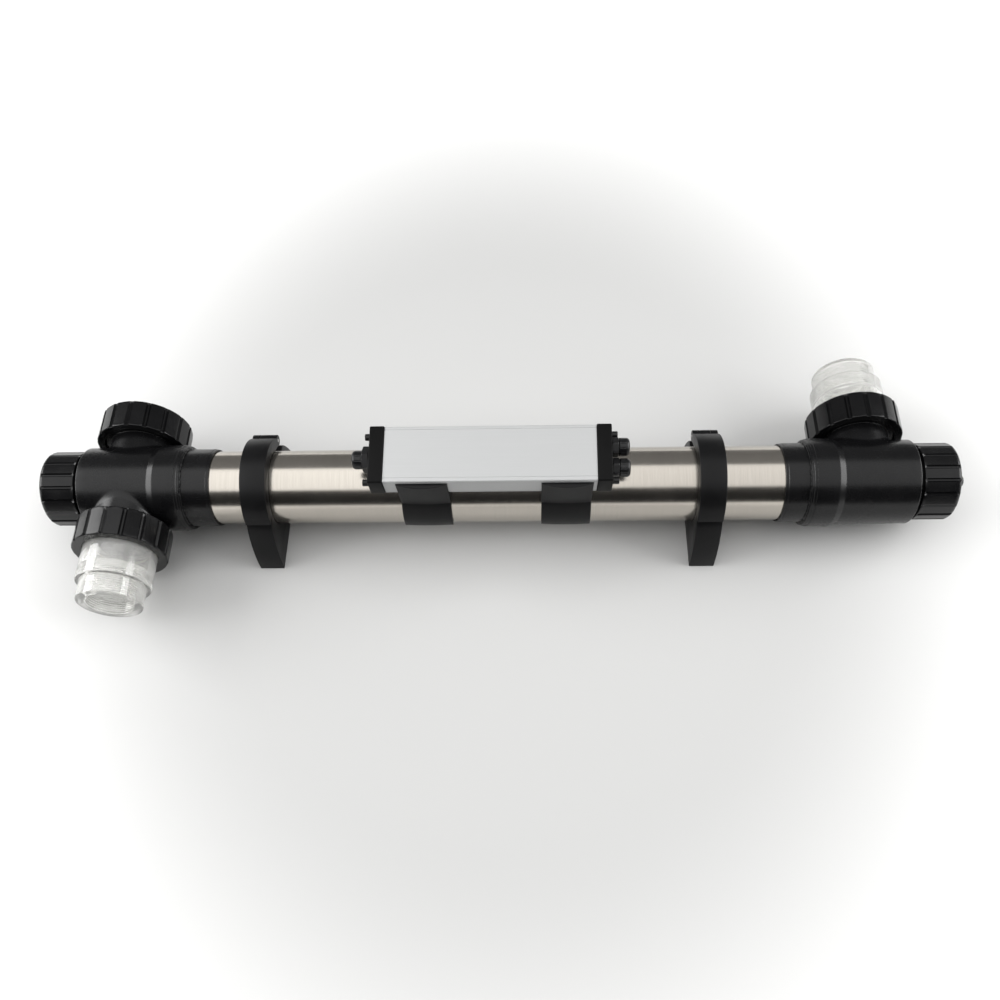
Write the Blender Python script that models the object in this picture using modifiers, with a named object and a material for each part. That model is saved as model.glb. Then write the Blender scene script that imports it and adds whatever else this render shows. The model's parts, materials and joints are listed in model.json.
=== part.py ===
"""In-line UV-C water clarifier: a stainless reactor tube between two plastic tees, with its lamp, unions,
pipe clips and ballast box.

Frame: X along the reactor tube (lamp end at +X), Y towards the rear ports, Z up. The clip feet stand on
Z = 0 and the origin is at the centre of the bounding box's base. Units are metres.
"""

from math import asin, cos, degrees, pi, radians, sin

import bmesh
import bpy
from mathutils import Matrix, Vector

MM = 0.001
GAP = 0.3 * MM                      # clearance between neighbouring pieces

# Reactor tube
TUBE_RADIUS = 38.05 * MM            # 76.1 mm stainless tube
TUBE_WALL = 1.5 * MM
STEEL_SHOWN = 580 * MM              # bare steel between the two sleeves

# Reducer sleeves, glued between the steel and the tees
SLEEVE_WALL = 2.2 * MM
SLEEVE_LIP = 4 * MM                 # stop behind the end of the steel
LEFT_SLEEVE_SHOWN = 29.5 * MM         # sleeve that shows between the tee and the steel
RIGHT_SLEEVE_SHOWN = 24.5 * MM

# Tees, measured from the branch axis along the run
BARREL_WALL = 8.8 * MM
TEE_BORE = 34 * MM                  # radius of the water way
COLLAR_WALL = 4.2 * MM              # wall round the socket that takes the sleeve
SOCKET_DEPTH = 28 * MM
SOCKET_INSET = 2.5 * MM             # from the side of a port to the floor of the socket
SHOULDER_RUN = 5 * MM
BARREL_INSET = 10.3 * MM            # from the side of a port to the end face on the cap side
NECK_BORE = 29.5 * MM               # threaded neck that takes the end cap
NECK_WALL = 6 * MM
NECK_LENGTH = 25.7 * MM
NECK_WALL_RUN = 11 * MM             # thickness of the barrel's end wall
SEAL_STEP = 3 * MM                  # counterbore that holds the end seal
SEAL_DEPTH = 4 * MM

# Branch ports, measured from the run axis
BRANCH_BORE = 27 * MM
BRANCH_WALL = 6 * MM
PORT_STAND_OFF = 5.95 * MM          # from the tee's collar to the port's thread
PORT_THREAD_DEPTH = 6 * MM          # how far the thread stands out from the port
PORT_THREAD_LENGTH = 17 * MM
PORT_SEAL_INSET = 3.5 * MM          # from the port's bore to its seal groove
PORT_SEAL_WIDTH = 3.5 * MM
PORT_SEAL_DEPTH = 2.6 * MM

# Union nuts
THREAD_CLEARANCE = 0.4 * MM
NUT_WALL = 7.6 * MM
NUT_RIB_DEPTH = 2.2 * MM
NUT_RIBS = 16
NUT_LENGTH = 31.2 * MM
NUT_LIP = 6 * MM
SLIP_RING_THICKNESS = 1.6 * MM

# Clear stepped adapters
COLLAR_THICKNESS = 3.5 * MM
COLLAR_STEP = 2.4 * MM              # how far the collar stands out under the nut's lip
ADAPTER_WALL = 7.6 * MM
ADAPTER_SHOWN = 35.3 * MM           # from the nut's end to the adapter's step
ADAPTER_TIP_LENGTH = 20 * MM
ADAPTER_TIP_WALL = 8.8 * MM
ADAPTER_THREAD_RADIUS = 23.4 * MM   # 1 1/2 inch parallel pipe thread
ADAPTER_THREAD_DEPTH = 36 * MM

# End caps
CAP_WALL = 3.1 * MM
CAP_RIB_DEPTH = 1.8 * MM
CAP_RIBS = 18
CAP_STAND_OFF = 4.2 * MM            # from the tee's end face to the cap's skirt
CAP_END_WALL = 6.2 * MM
FLANGE_THICKNESS = 4 * MM
PLUG_LENGTH = 22 * MM
PRESSURE_RING_THICKNESS = 3.8 * MM
PRESSURE_RING_GAP = 5 * MM          # between the ring and the lamp lead boss inside it
HUB_RIM = 1.6 * MM                  # lamp lead boss that shows round the foot of the gland
THROAT_STEP = 4 * MM                # taper of the lead's way out of the quartz

# Lamp and quartz sleeve
LAMP_RADIUS = 7.8 * MM
LAMP_BASE_STEP = 1.8 * MM
LAMP_BASE_LENGTH = 14 * MM
LAMP_CLEARANCE = 1.4 * MM           # round the lamp bases
LAMP_SETBACK = 12 * MM              # from each end of the quartz to the lamp base
QUARTZ_WALL = 1.5 * MM
QUARTZ_SEAL_SECTION = 3.2 * MM
POCKET_FLOOR = 3 * MM               # depth of the quartz pocket's floor below the end of the neck

# Pipe clips
CLIP_WIDTH = 26 * MM
LEFT_CLIP_INSET = 48.4 * MM         # from the end of the bare steel to the middle of the clip
RIGHT_CLIP_INSET = 72.8 * MM
CLIP_FLOOR = 18.65 * MM             # under the tube
CLIP_ARM_WALL = 9.15 * MM
CLIP_PARTING = 8 * MM               # height of the strap's ends above the tube axis
FOOT_FLARE = 19.5 * MM
FLARE_POWER = 0.75                  # under 1 widens the foot sooner below the arm
STRAP_WALL = 12.65 * MM
STRAP_REAR_ANGLE = 42               # degrees above horizontal, where the inner arc ends
STRAP_CURL_ANGLE = 34               # degrees above horizontal, where the outer arc meets the hinge barrel
CURL_START = 78                     # degrees round the hinge pin, where the strap's curl starts and ends
CURL_END = -160
HINGE_REACH = 10.85 * MM            # from the cradle to the hinge pin
HINGE_ANGLE = radians(26.6)         # of the hinge pin above horizontal
HINGE_BARREL = 6 * MM
HINGE_PIN_RADIUS = 1.7 * MM
HINGE_LUG_WIDTH = 10 * MM
HINGE_LEG_WIDTH = 8 * MM
HINGE_LEG_TAPER = 1 * MM
HINGE_LEG_ROOT = 4 * MM             # depth of the leg's root in the arm
CLIP_SCREW_RADIUS = 3.2 * MM
CLIP_SCREW_HEAD = 6.5 * MM
CLIP_SCREW_SEAT = 8 * MM            # depth of the head's recess below the cradle

# Ballast box, tilted about the tube axis
BOX_TILT = radians(8)
BOX_CENTRE_X = -1.8 * MM            # from the middle of the bare steel
BOX_LENGTH = 206.5 * MM
BOX_WIDTH = 59 * MM
BOX_HEIGHT = 25.8 * MM
BOX_STAND_OFF = 13.15 * MM          # from the tube to the underside of the box
BOX_WALL = 2 * MM
BOX_CORNER = 1.2 * MM
BOX_GROOVE = 0.6 * MM
BOX_GROOVE_DROP = 3.5 * MM          # from the top face down to the grooves
BOX_CAP_LENGTH = 14.5 * MM
BOX_CAP_MARGIN = 0.9 * MM
SCREW_RADIUS = 1.5 * MM
SCREW_HEAD_STEP = 1.9 * MM
SCREW_HEAD_LENGTH = 6.5 * MM
SCREW_REACH = 9 * MM                # into the extrusion
SCREW_BOSS_WALL = 1.2 * MM
BOARD_THICKNESS = 1.6 * MM
BOARD_MARGIN = 5 * MM
BOARD_HEADROOM = 2 * MM             # above the tallest piece on the board
CHOKE_WIDTH = 26 * MM
CHOKE_LENGTH = 35 * MM
CHOKE_INSET = 43.25 * MM            # from the left end of the extrusion
CAPACITOR_LENGTH = 30 * MM
CAPACITOR_INSET = 58.25 * MM        # from the right end of the extrusion

# Saddles that hold the box on the tube
SADDLE_WIDTH = 50 * MM
LEFT_SADDLE_INSET = 11.95 * MM      # from each end of the extrusion to the saddle's side
RIGHT_SADDLE_INSET = 3.55 * MM
SADDLE_WALL = 0.9 * MM              # thinnest, at the saddle's sides
SADDLE_FRONT_DROP = 4.6 * MM        # from the box's top to the top of the saddle's front and rear walls
SADDLE_REAR_DROP = 12 * MM
SADDLE_CREASE_WALL = 2.25 * MM
SADDLE_MOST_CREASE = 80             # degrees from the box's middle, where a wide box's wall meets the grip
SADDLE_TIP_WALL = 3.2 * MM
SADDLE_WRAP = 100                   # degrees each side of the box's middle
SADDLE_BULGE_TOP = 4.5 * MM
SADDLE_BULGE_TIP = 0.8 * MM

# Cable glands
GLAND_SPACE = 2.4 * MM              # between the two glands at the right end of the box
GLAND_STUB_RADIUS = 5.9 * MM
GLAND_THREAD_WALL = 2.2 * MM
GLAND_SEAL_THICKNESS = 2.2 * MM
GLAND_SEAL_GRIP = 1 * MM            # how far the seal stands into the bore
GLAND_END_WALL = 2.2 * MM
DOME_RIM = 1.2 * MM                 # flat ring round the dome nut's mouth
DOME_ROUND = 0.35                   # share of the dome nut's length that is rounded

LARGE_STEPS = 24                    # sides of the large, medium and small round pieces
MEDIUM_STEPS = 16
SMALL_STEPS = 12
BEYOND = 10 * MM                    # how far a cutter runs past the face that it cuts

# Radii that follow from the tube and the bores
SLEEVE_BORE = TUBE_RADIUS + GAP
SLEEVE_RADIUS = SLEEVE_BORE + SLEEVE_WALL
SOCKET_BORE = SLEEVE_RADIUS + GAP
COLLAR_RADIUS = SOCKET_BORE + COLLAR_WALL
BARREL_RADIUS = TEE_BORE + BARREL_WALL
NECK_RADIUS = NECK_BORE + NECK_WALL
CAP_RADIUS = NECK_RADIUS + THREAD_CLEARANCE + CAP_WALL
BRANCH_RADIUS = BRANCH_BORE + BRANCH_WALL
PORT_THREAD_RADIUS = BRANCH_RADIUS + PORT_THREAD_DEPTH
PORT_SEAL_INNER = BRANCH_BORE + PORT_SEAL_INSET
NUT_RADIUS = PORT_THREAD_RADIUS + THREAD_CLEARANCE + NUT_WALL
ADAPTER_RADIUS = PORT_THREAD_RADIUS - COLLAR_STEP
ADAPTER_BORE = ADAPTER_RADIUS - ADAPTER_WALL
ADAPTER_TIP_RADIUS = ADAPTER_THREAD_RADIUS + ADAPTER_TIP_WALL
LAMP_BASE_RADIUS = LAMP_RADIUS + LAMP_BASE_STEP
QUARTZ_BORE = LAMP_BASE_RADIUS + LAMP_CLEARANCE
QUARTZ_RADIUS = QUARTZ_BORE + QUARTZ_WALL
SCREW_HEAD_RADIUS = SCREW_RADIUS + SCREW_HEAD_STEP
SCREW_BOSS = 2 * (SCREW_RADIUS + GAP + SCREW_BOSS_WALL)

# Distances along a tee's run, from its branch axis
SOCKET_FLOOR = BRANCH_RADIUS + SOCKET_INSET
SOCKET_MOUTH = SOCKET_FLOOR + SOCKET_DEPTH
BARREL_END = BRANCH_RADIUS + BARREL_INSET
NECK_END = BARREL_END + NECK_LENGTH
FLANGE_START = NECK_END + GAP
FLANGE_END = FLANGE_START + FLANGE_THICKNESS
PRESSURE_RING_START = FLANGE_END + GAP
PRESSURE_RING_END = PRESSURE_RING_START + PRESSURE_RING_THICKNESS
CAP_START = BARREL_END + CAP_STAND_OFF
CAP_END = PRESSURE_RING_END + GAP + CAP_END_WALL

# Distances along a port, from the run axis
PORT_THREAD_START = COLLAR_RADIUS + PORT_STAND_OFF
PORT_FACE = PORT_THREAD_START + PORT_THREAD_LENGTH
COLLAR_START = PORT_FACE + 2 * GAP / 3
COLLAR_END = COLLAR_START + COLLAR_THICKNESS
SLIP_RING_START = COLLAR_END + GAP
SLIP_RING_END = SLIP_RING_START + SLIP_RING_THICKNESS
NUT_END = SLIP_RING_END + GAP + NUT_LIP
NUT_START = NUT_END - NUT_LENGTH
ADAPTER_STEP = NUT_END + ADAPTER_SHOWN
ADAPTER_END = ADAPTER_STEP + ADAPTER_TIP_LENGTH

# Clip, box and saddle sizes from the tube axis
CRADLE = TUBE_RADIUS + GAP
AXIS_HEIGHT = CRADLE + CLIP_FLOOR
CLIP_ARM_REACH = CRADLE + CLIP_ARM_WALL
STRAP_RADIUS = CRADLE + STRAP_WALL
HINGE_PIN = ((CRADLE + HINGE_REACH) * cos(HINGE_ANGLE), (CRADLE + HINGE_REACH) * sin(HINGE_ANGLE))
BOX_TOP = TUBE_RADIUS + BOX_STAND_OFF + BOX_HEIGHT
BOX_MIDDLE = BOX_TOP - BOX_HEIGHT / 2
SCREW_OFFSET = BOX_WIDTH / 2 - BOX_WALL - SCREW_BOSS / 2

# Places along the tube, from the middle of the bare steel
STEEL_END = STEEL_SHOWN / 2
LEFT_BRANCH = STEEL_END + LEFT_SLEEVE_SHOWN + SOCKET_MOUTH
RIGHT_BRANCH = STEEL_END + RIGHT_SLEEVE_SHOWN + SOCKET_MOUTH
LEFT_CLIP_X = LEFT_CLIP_INSET - STEEL_END
RIGHT_CLIP_X = STEEL_END - RIGHT_CLIP_INSET
LEFT_SADDLE_X = BOX_CENTRE_X - BOX_LENGTH / 2 + LEFT_SADDLE_INSET + SADDLE_WIDTH / 2
RIGHT_SADDLE_X = BOX_CENTRE_X + BOX_LENGTH / 2 - RIGHT_SADDLE_INSET - SADDLE_WIDTH / 2


class GlandSize:
    """Sizes of one cable gland: a hexagon body, a domed nut and the seal between them."""

    def __init__(self, hex_radius, hex_length, thread_radius, thread_length, dome_radius):
        self.hex_radius = hex_radius
        self.hex_length = hex_length
        self.thread_radius = thread_radius
        self.thread_end = hex_length + thread_length
        self.dome_radius = dome_radius
        self.bore = thread_radius - GLAND_THREAD_WALL
        self.dome_start = hex_length + GAP
        self.seal_start = self.thread_end + GAP
        self.lip_start = self.seal_start + GLAND_SEAL_THICKNESS + GAP
        self.end = self.lip_start + GLAND_END_WALL


MAINS_GLAND = GlandSize(13.2 * MM, 7.2 * MM, 7 * MM, 5.6 * MM, 9.2 * MM)
LAMP_WIRE_GLAND = GlandSize(9.8 * MM, 7 * MM, 6.6 * MM, 5.6 * MM, 9 * MM)
LAMP_CAP_GLAND = GlandSize(7.4 * MM, 5 * MM, 4.8 * MM, 6.3 * MM, 6.9 * MM)
GLAND_PITCH = 2 * LAMP_WIRE_GLAND.hex_radius + GLAND_SPACE
HUB_RADIUS = LAMP_CAP_GLAND.hex_radius + HUB_RIM

LEFT_REACH = LEFT_BRANCH + CAP_END
RIGHT_REACH = RIGHT_BRANCH + CAP_END + LAMP_CAP_GLAND.end
TUBE_MIDDLE = Vector(((LEFT_REACH - RIGHT_REACH) / 2, 0, AXIS_HEIGHT))
LEFT = Vector((-1, 0, 0))
RIGHT = Vector((1, 0, 0))
FRONT = Vector((0, -1, 0))
REAR = Vector((0, 1, 0))

for old in list(bpy.data.objects):
    bpy.data.objects.remove(old, do_unlink=True)

parts = bpy.data.collections.new("uv_clarifier")
cutters = bpy.data.collections.new("cutters")
bpy.context.scene.collection.children.link(parts)
bpy.context.scene.collection.children.link(cutters)


def finish(name, colour, roughness, metallic=0.0, alpha=1.0):
    """A plain Principled material."""
    material = bpy.data.materials.new(name)
    material.use_nodes = True
    shader = material.node_tree.nodes["Principled BSDF"]
    shader.inputs["Base Color"].default_value = (*colour, 1)
    shader.inputs["Roughness"].default_value = roughness
    shader.inputs["Metallic"].default_value = metallic
    shader.inputs["Alpha"].default_value = alpha
    material.diffuse_color = (*colour, alpha)
    return material


STEEL = ("brushed_steel", (0.62, 0.59, 0.54), 0.32, 1.0)
PVC = ("black_pvc", (0.018, 0.018, 0.019), 0.38)
NUT_PLASTIC = ("nut_plastic", (0.014, 0.014, 0.015), 0.3)
CLIP_PLASTIC = ("clip_plastic", (0.016, 0.016, 0.017), 0.45)
CLEAR = ("clear_plastic", (0.9, 0.92, 0.9), 0.12, 0.0, 0.4)
SLIP = ("slip_ring_plastic", (0.8, 0.76, 0.6), 0.4)
RUBBER = ("seal_rubber", (0.02, 0.02, 0.02), 0.8)
GLASS = ("quartz_glass", (0.9, 0.95, 1.0), 0.05, 0.0, 0.3)
LAMP = ("lamp_glass", (0.85, 0.9, 0.95), 0.1, 0.0, 0.5)
CERAMIC = ("lamp_ceramic", (0.85, 0.83, 0.78), 0.5)
ALUMINIUM = ("anodised_aluminium", (0.72, 0.73, 0.73), 0.42, 1.0)
BOX_PLASTIC = ("box_cap_plastic", (0.012, 0.012, 0.012), 0.5)
GLAND_PLASTIC = ("gland_plastic", (0.012, 0.012, 0.013), 0.35)
BOARD = ("circuit_board", (0.02, 0.16, 0.06), 0.5)
COPPER = ("choke_winding", (0.55, 0.25, 0.1), 0.4, 0.6)
ZINC = ("zinc_screw", (0.5, 0.5, 0.48), 0.35, 1.0)


def place(obj, material, is_cutter=False):
    """Links an object into its collection; a piece gets a material of its own."""
    if is_cutter:
        cutters.objects.link(obj)
        obj.hide_render = True
        obj.display_type = "WIRE"
    else:
        parts.objects.link(obj)
        obj.data.materials.append(finish(obj.name + "_" + material[0], *material[1:]))
    return obj


def turned(name, material, profile, origin, direction, steps=LARGE_STEPS):
    """Turns (radius, height) points about an axis; height runs along direction from origin.

    The points run down the outer side from the top. A profile that starts off the axis is a closed ring,
    and two points in a row on the axis are its two poles, with no edge between them.
    """
    count = len(profile)
    edges = [(i, i + 1) for i in range(count - 1) if profile[i][0] > 0 or profile[i + 1][0] > 0]
    if profile[0][0] > 0:
        edges.append((count - 1, 0))
    mesh = bpy.data.meshes.new(name)
    mesh.from_pydata([(radius, 0, height) for radius, height in profile], edges, [])
    obj = bpy.data.objects.new(name, mesh)
    obj.location = origin
    obj.rotation_mode = "QUATERNION"
    obj.rotation_quaternion = direction.to_track_quat("Z", "Y")
    turn = obj.modifiers.new("Turn", "SCREW")
    turn.steps = steps
    turn.render_steps = steps
    turn.use_merge_vertices = True
    turn.merge_threshold = 0.00001
    turn.use_smooth_shade = True
    return place(obj, material, material is None)


def ring_profile(inner, outer, low, high):
    """Closed section of a plain ring, outer side first."""
    return [(outer, high), (outer, low), (inner, low), (inner, high)]


def rod_profile(radius, low, high):
    """Open section of a plain rod."""
    return [(0, high), (radius, high), (radius, low), (0, low)]


def axes_matrix(origin, direction, up):
    """Matrix whose X axis is direction and whose Z axis is close to up."""
    x_axis = direction.normalized()
    y_axis = up.cross(x_axis).normalized()
    z_axis = x_axis.cross(y_axis)
    matrix = Matrix((x_axis, y_axis, z_axis)).transposed().to_4x4()
    matrix.translation = origin
    return matrix


def extruded(name, material, outline, low, high, matrix):
    """Extrudes a closed (y, z) outline from low to high along the matrix's X axis."""
    shape = bmesh.new()
    corners = [shape.verts.new((low, y, z)) for y, z in outline]
    base = shape.faces.new(corners)
    wall = bmesh.ops.extrude_face_region(shape, geom=[base])
    moved = [item for item in wall["geom"] if isinstance(item, bmesh.types.BMVert)]
    bmesh.ops.translate(shape, verts=moved, vec=(high - low, 0, 0))
    bmesh.ops.recalc_face_normals(shape, faces=shape.faces)
    mesh = bpy.data.meshes.new(name)
    shape.to_mesh(mesh)
    shape.free()
    mesh.shade_smooth()
    mesh.set_sharp_from_angle(angle=radians(30))
    obj = bpy.data.objects.new(name, mesh)
    obj.matrix_world = matrix
    return place(obj, material, material is None)


def combine(obj, other, operation):
    """Adds an exact Boolean between a piece and a cutter."""
    step = obj.modifiers.new(other.name, "BOOLEAN")
    step.operation = operation
    step.object = other
    step.solver = "EXACT"
    return obj


def arc(radius, start, end, steps, centre=(0.0, 0.0)):
    """Points on a circle from start to end degrees, both ends included."""
    angles = [radians(start + (end - start) * i / steps) for i in range(steps + 1)]
    return [(centre[0] + radius * cos(a), centre[1] + radius * sin(a)) for a in angles]


def rounded_box(width, height, corner, centre=(0.0, 0.0)):
    """Outline of a rectangle with rounded corners."""
    points = []
    for index, (side_y, side_z) in enumerate(((1, 1), (-1, 1), (-1, -1), (1, -1))):
        middle = (centre[0] + side_y * (width / 2 - corner), centre[1] + side_z * (height / 2 - corner))
        points += arc(corner, 90 * index, 90 * index + 90, 3, middle)
    return points


def ribbed_outline(radius, depth, count):
    """Outline of a grip: wide lands with narrow notches between them."""
    pitch = 360 / count
    points = []
    for index in range(count):
        start = pitch * index
        points += arc(radius, start, start + 0.66 * pitch, 1)
        points += arc(radius - depth, start + 0.76 * pitch, start + 0.9 * pitch, 1)
    return points


def ribbed_nut(name, radius, depth, ribs, low, high, bore, origin, direction):
    """A ribbed grip with a turned bore."""
    outline = ribbed_outline(radius, depth, ribs)
    matrix = axes_matrix(origin, direction, Vector((0, 0, 1)))
    nut = extruded(name, NUT_PLASTIC, outline, low, high, matrix)
    return combine(nut, turned(name + "_bore", None, bore, origin, direction), "DIFFERENCE")


def point_on_axis(distance, direction):
    """A point on the tube axis, a distance from the middle of the bare steel."""
    return TUBE_MIDDLE + direction * distance


def reactor_tube():
    """The steel tube, held by the lip of each sleeve."""
    seat = SOCKET_FLOOR + 2 * GAP + SLEEVE_LIP
    profile = ring_profile(TUBE_RADIUS - TUBE_WALL, TUBE_RADIUS, -(LEFT_BRANCH - seat), RIGHT_BRANCH - seat)
    turned("reactor_tube", STEEL, profile, TUBE_MIDDLE, RIGHT)


def reducer_sleeve(name, branch, direction):
    """The sleeve between the steel and the tee's socket."""
    end = branch - SOCKET_FLOOR - GAP
    lip = end - SLEEVE_LIP
    profile = [
        (SLEEVE_RADIUS, end),
        (SLEEVE_RADIUS, STEEL_END),
        (SLEEVE_BORE, STEEL_END),
        (SLEEVE_BORE, lip),
        (TUBE_RADIUS - TUBE_WALL, lip),
        (TUBE_RADIUS - TUBE_WALL, end),
    ]
    turned(name, PVC, profile, TUBE_MIDDLE, direction)


def tee(name, branch, direction, ports):
    """A tee or cross: socket on the steel side, threaded neck on the cap side, ports to the front or rear."""
    centre = point_on_axis(branch, direction)
    outer = [
        (0, NECK_END),
        (NECK_RADIUS, NECK_END),
        (NECK_RADIUS, BARREL_END),
        (BARREL_RADIUS, BARREL_END),
        (BARREL_RADIUS, -SOCKET_FLOOR + SHOULDER_RUN),
        (COLLAR_RADIUS, -SOCKET_FLOOR),
        (COLLAR_RADIUS, -SOCKET_MOUTH),
        (0, -SOCKET_MOUTH),
    ]
    body = turned(name, PVC, outer, centre, direction)
    port_outer = [
        (0, PORT_FACE),
        (PORT_THREAD_RADIUS, PORT_FACE),
        (PORT_THREAD_RADIUS, PORT_THREAD_START),
        (BRANCH_RADIUS, PORT_THREAD_START),
        (BRANCH_RADIUS, 0),
        (0, 0),
    ]
    for index, side in enumerate(ports):
        combine(body, turned(f"{name}_port_{index}", None, port_outer, centre, side), "UNION")
    run_bore = [
        (0, NECK_END + BEYOND),
        (NECK_BORE + SEAL_STEP, NECK_END + BEYOND),
        (NECK_BORE + SEAL_STEP, NECK_END - SEAL_DEPTH),
        (NECK_BORE, NECK_END - SEAL_DEPTH),
        (NECK_BORE, BARREL_END - NECK_WALL_RUN),
        (TEE_BORE, BARREL_END - NECK_WALL_RUN),
        (TEE_BORE, -SOCKET_FLOOR),
        (SOCKET_BORE, -SOCKET_FLOOR),
        (SOCKET_BORE, -SOCKET_MOUTH - BEYOND),
        (0, -SOCKET_MOUTH - BEYOND),
    ]
    combine(body, turned(f"{name}_run_bore", None, run_bore, centre, direction), "DIFFERENCE")
    seal_outer = PORT_SEAL_INNER + PORT_SEAL_WIDTH
    port_bore = rod_profile(BRANCH_BORE, 0, PORT_FACE + BEYOND)
    groove = ring_profile(PORT_SEAL_INNER, seal_outer, PORT_FACE - PORT_SEAL_DEPTH, PORT_FACE + BEYOND)
    for index, side in enumerate(ports):
        combine(body, turned(f"{name}_bore_{index}", None, port_bore, centre, side), "DIFFERENCE")
        combine(body, turned(f"{name}_groove_{index}", None, groove, centre, side), "DIFFERENCE")


def union(name, branch, direction, side, blank):
    """Port seal, adapter or blanking plug, slip ring and union nut on one port."""
    centre = point_on_axis(branch, direction)
    seal = ring_profile(
        PORT_SEAL_INNER + GAP,
        PORT_SEAL_INNER + PORT_SEAL_WIDTH - GAP,
        PORT_FACE - PORT_SEAL_DEPTH + GAP,
        PORT_FACE + GAP / 3,
    )
    turned(f"{name}_seal", RUBBER, seal, centre, side)
    if blank:
        profile = [
            (0, NUT_END),
            (ADAPTER_RADIUS, NUT_END),
            (ADAPTER_RADIUS, COLLAR_END),
            (PORT_THREAD_RADIUS, COLLAR_END),
            (PORT_THREAD_RADIUS, COLLAR_START),
            (0, COLLAR_START),
        ]
        turned(f"{name}_plug", PVC, profile, centre, side)
    else:
        thread_floor = ADAPTER_END - ADAPTER_THREAD_DEPTH
        profile = [
            (ADAPTER_TIP_RADIUS, ADAPTER_END),
            (ADAPTER_TIP_RADIUS, ADAPTER_STEP),
            (ADAPTER_RADIUS, ADAPTER_STEP),
            (ADAPTER_RADIUS, COLLAR_END),
            (PORT_THREAD_RADIUS, COLLAR_END),
            (PORT_THREAD_RADIUS, COLLAR_START),
            (ADAPTER_BORE, COLLAR_START),
            (ADAPTER_BORE, thread_floor),
            (ADAPTER_THREAD_RADIUS, thread_floor + ADAPTER_BORE - ADAPTER_THREAD_RADIUS),
            (ADAPTER_THREAD_RADIUS, ADAPTER_END),
        ]
        turned(f"{name}_adapter", CLEAR, profile, centre, side)
    hole = ADAPTER_RADIUS + THREAD_CLEARANCE
    thread = PORT_THREAD_RADIUS + THREAD_CLEARANCE
    ring = ring_profile(hole, PORT_THREAD_RADIUS, SLIP_RING_START, SLIP_RING_END)
    turned(f"{name}_slip_ring", SLIP, ring, centre, side)
    bore = [
        (0, NUT_END + BEYOND),
        (hole, NUT_END + BEYOND),
        (hole, SLIP_RING_END + GAP),
        (thread, SLIP_RING_END + GAP),
        (thread, NUT_START - BEYOND),
        (0, NUT_START - BEYOND),
    ]
    ribbed_nut(f"{name}_nut", NUT_RADIUS, NUT_RIB_DEPTH, NUT_RIBS, NUT_START, NUT_END, bore, centre, side)


def end_closure(name, branch, direction, lamp_end):
    """Seal, plug, pressure ring and screw cap on a tee's neck. The lamp end lets the lamp's lead out."""
    centre = point_on_axis(branch, direction)
    plug_radius = NECK_BORE - GAP
    seal_outer = NECK_BORE + SEAL_STEP - GAP
    seal = ring_profile(NECK_BORE + GAP / 3, seal_outer, NECK_END - SEAL_DEPTH + GAP, NECK_END)
    turned(f"{name}_end_seal", RUBBER, seal, centre, direction)
    flange_radius = NECK_RADIUS - 2 * GAP
    plug_start = FLANGE_START - PLUG_LENGTH
    pocket = QUARTZ_RADIUS + GAP
    pocket_end = NECK_END - POCKET_FLOOR + GAP
    thread = NECK_RADIUS + THREAD_CLEARANCE
    inner_face = CAP_END - CAP_END_WALL
    if lamp_end:
        seal_pocket = pocket + QUARTZ_SEAL_SECTION + GAP
        seal_end = plug_start + QUARTZ_SEAL_SECTION + 2 * GAP
        lead_bore = LAMP_CAP_GLAND.bore
        plug = [
            (HUB_RADIUS, CAP_END),
            (HUB_RADIUS, FLANGE_END),
            (flange_radius, FLANGE_END),
            (flange_radius, FLANGE_START),
            (plug_radius, FLANGE_START),
            (plug_radius, plug_start),
            (seal_pocket, plug_start),
            (seal_pocket, seal_end),
            (pocket, seal_end),
            (pocket, pocket_end),
            (QUARTZ_BORE - THROAT_STEP, pocket_end),
            (lead_bore, FLANGE_END),
            (lead_bore, CAP_END),
        ]
        turned("lamp_plug", PVC, plug, centre, direction)
        quartz_seal = ring_profile(
            pocket,
            pocket + QUARTZ_SEAL_SECTION,
            plug_start + GAP,
            plug_start + GAP + QUARTZ_SEAL_SECTION,
        )
        turned("quartz_seal", RUBBER, quartz_seal, centre, direction, MEDIUM_STEPS)
        hole = HUB_RADIUS + THREAD_CLEARANCE
        bore = [(0, CAP_END + BEYOND), (hole, CAP_END + BEYOND), (hole, inner_face)]
    else:
        plug = [
            (0, FLANGE_END),
            (flange_radius, FLANGE_END),
            (flange_radius, FLANGE_START),
            (plug_radius, FLANGE_START),
            (plug_radius, plug_start),
            (pocket, plug_start),
            (pocket, pocket_end),
            (0, pocket_end),
        ]
        turned("quartz_end_holder", PVC, plug, centre, direction)
        bore = [(0, inner_face)]
    bore += [(thread, inner_face), (thread, CAP_START - BEYOND), (0, CAP_START - BEYOND)]
    ring = ring_profile(HUB_RADIUS + PRESSURE_RING_GAP, flange_radius, PRESSURE_RING_START, PRESSURE_RING_END)
    turned(f"{name}_pressure_ring", SLIP, ring, centre, direction)
    cap_name = f"{name}_end_cap"
    ribbed_nut(cap_name, CAP_RADIUS, CAP_RIB_DEPTH, CAP_RIBS, CAP_START, CAP_END, bore, centre, direction)


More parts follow.
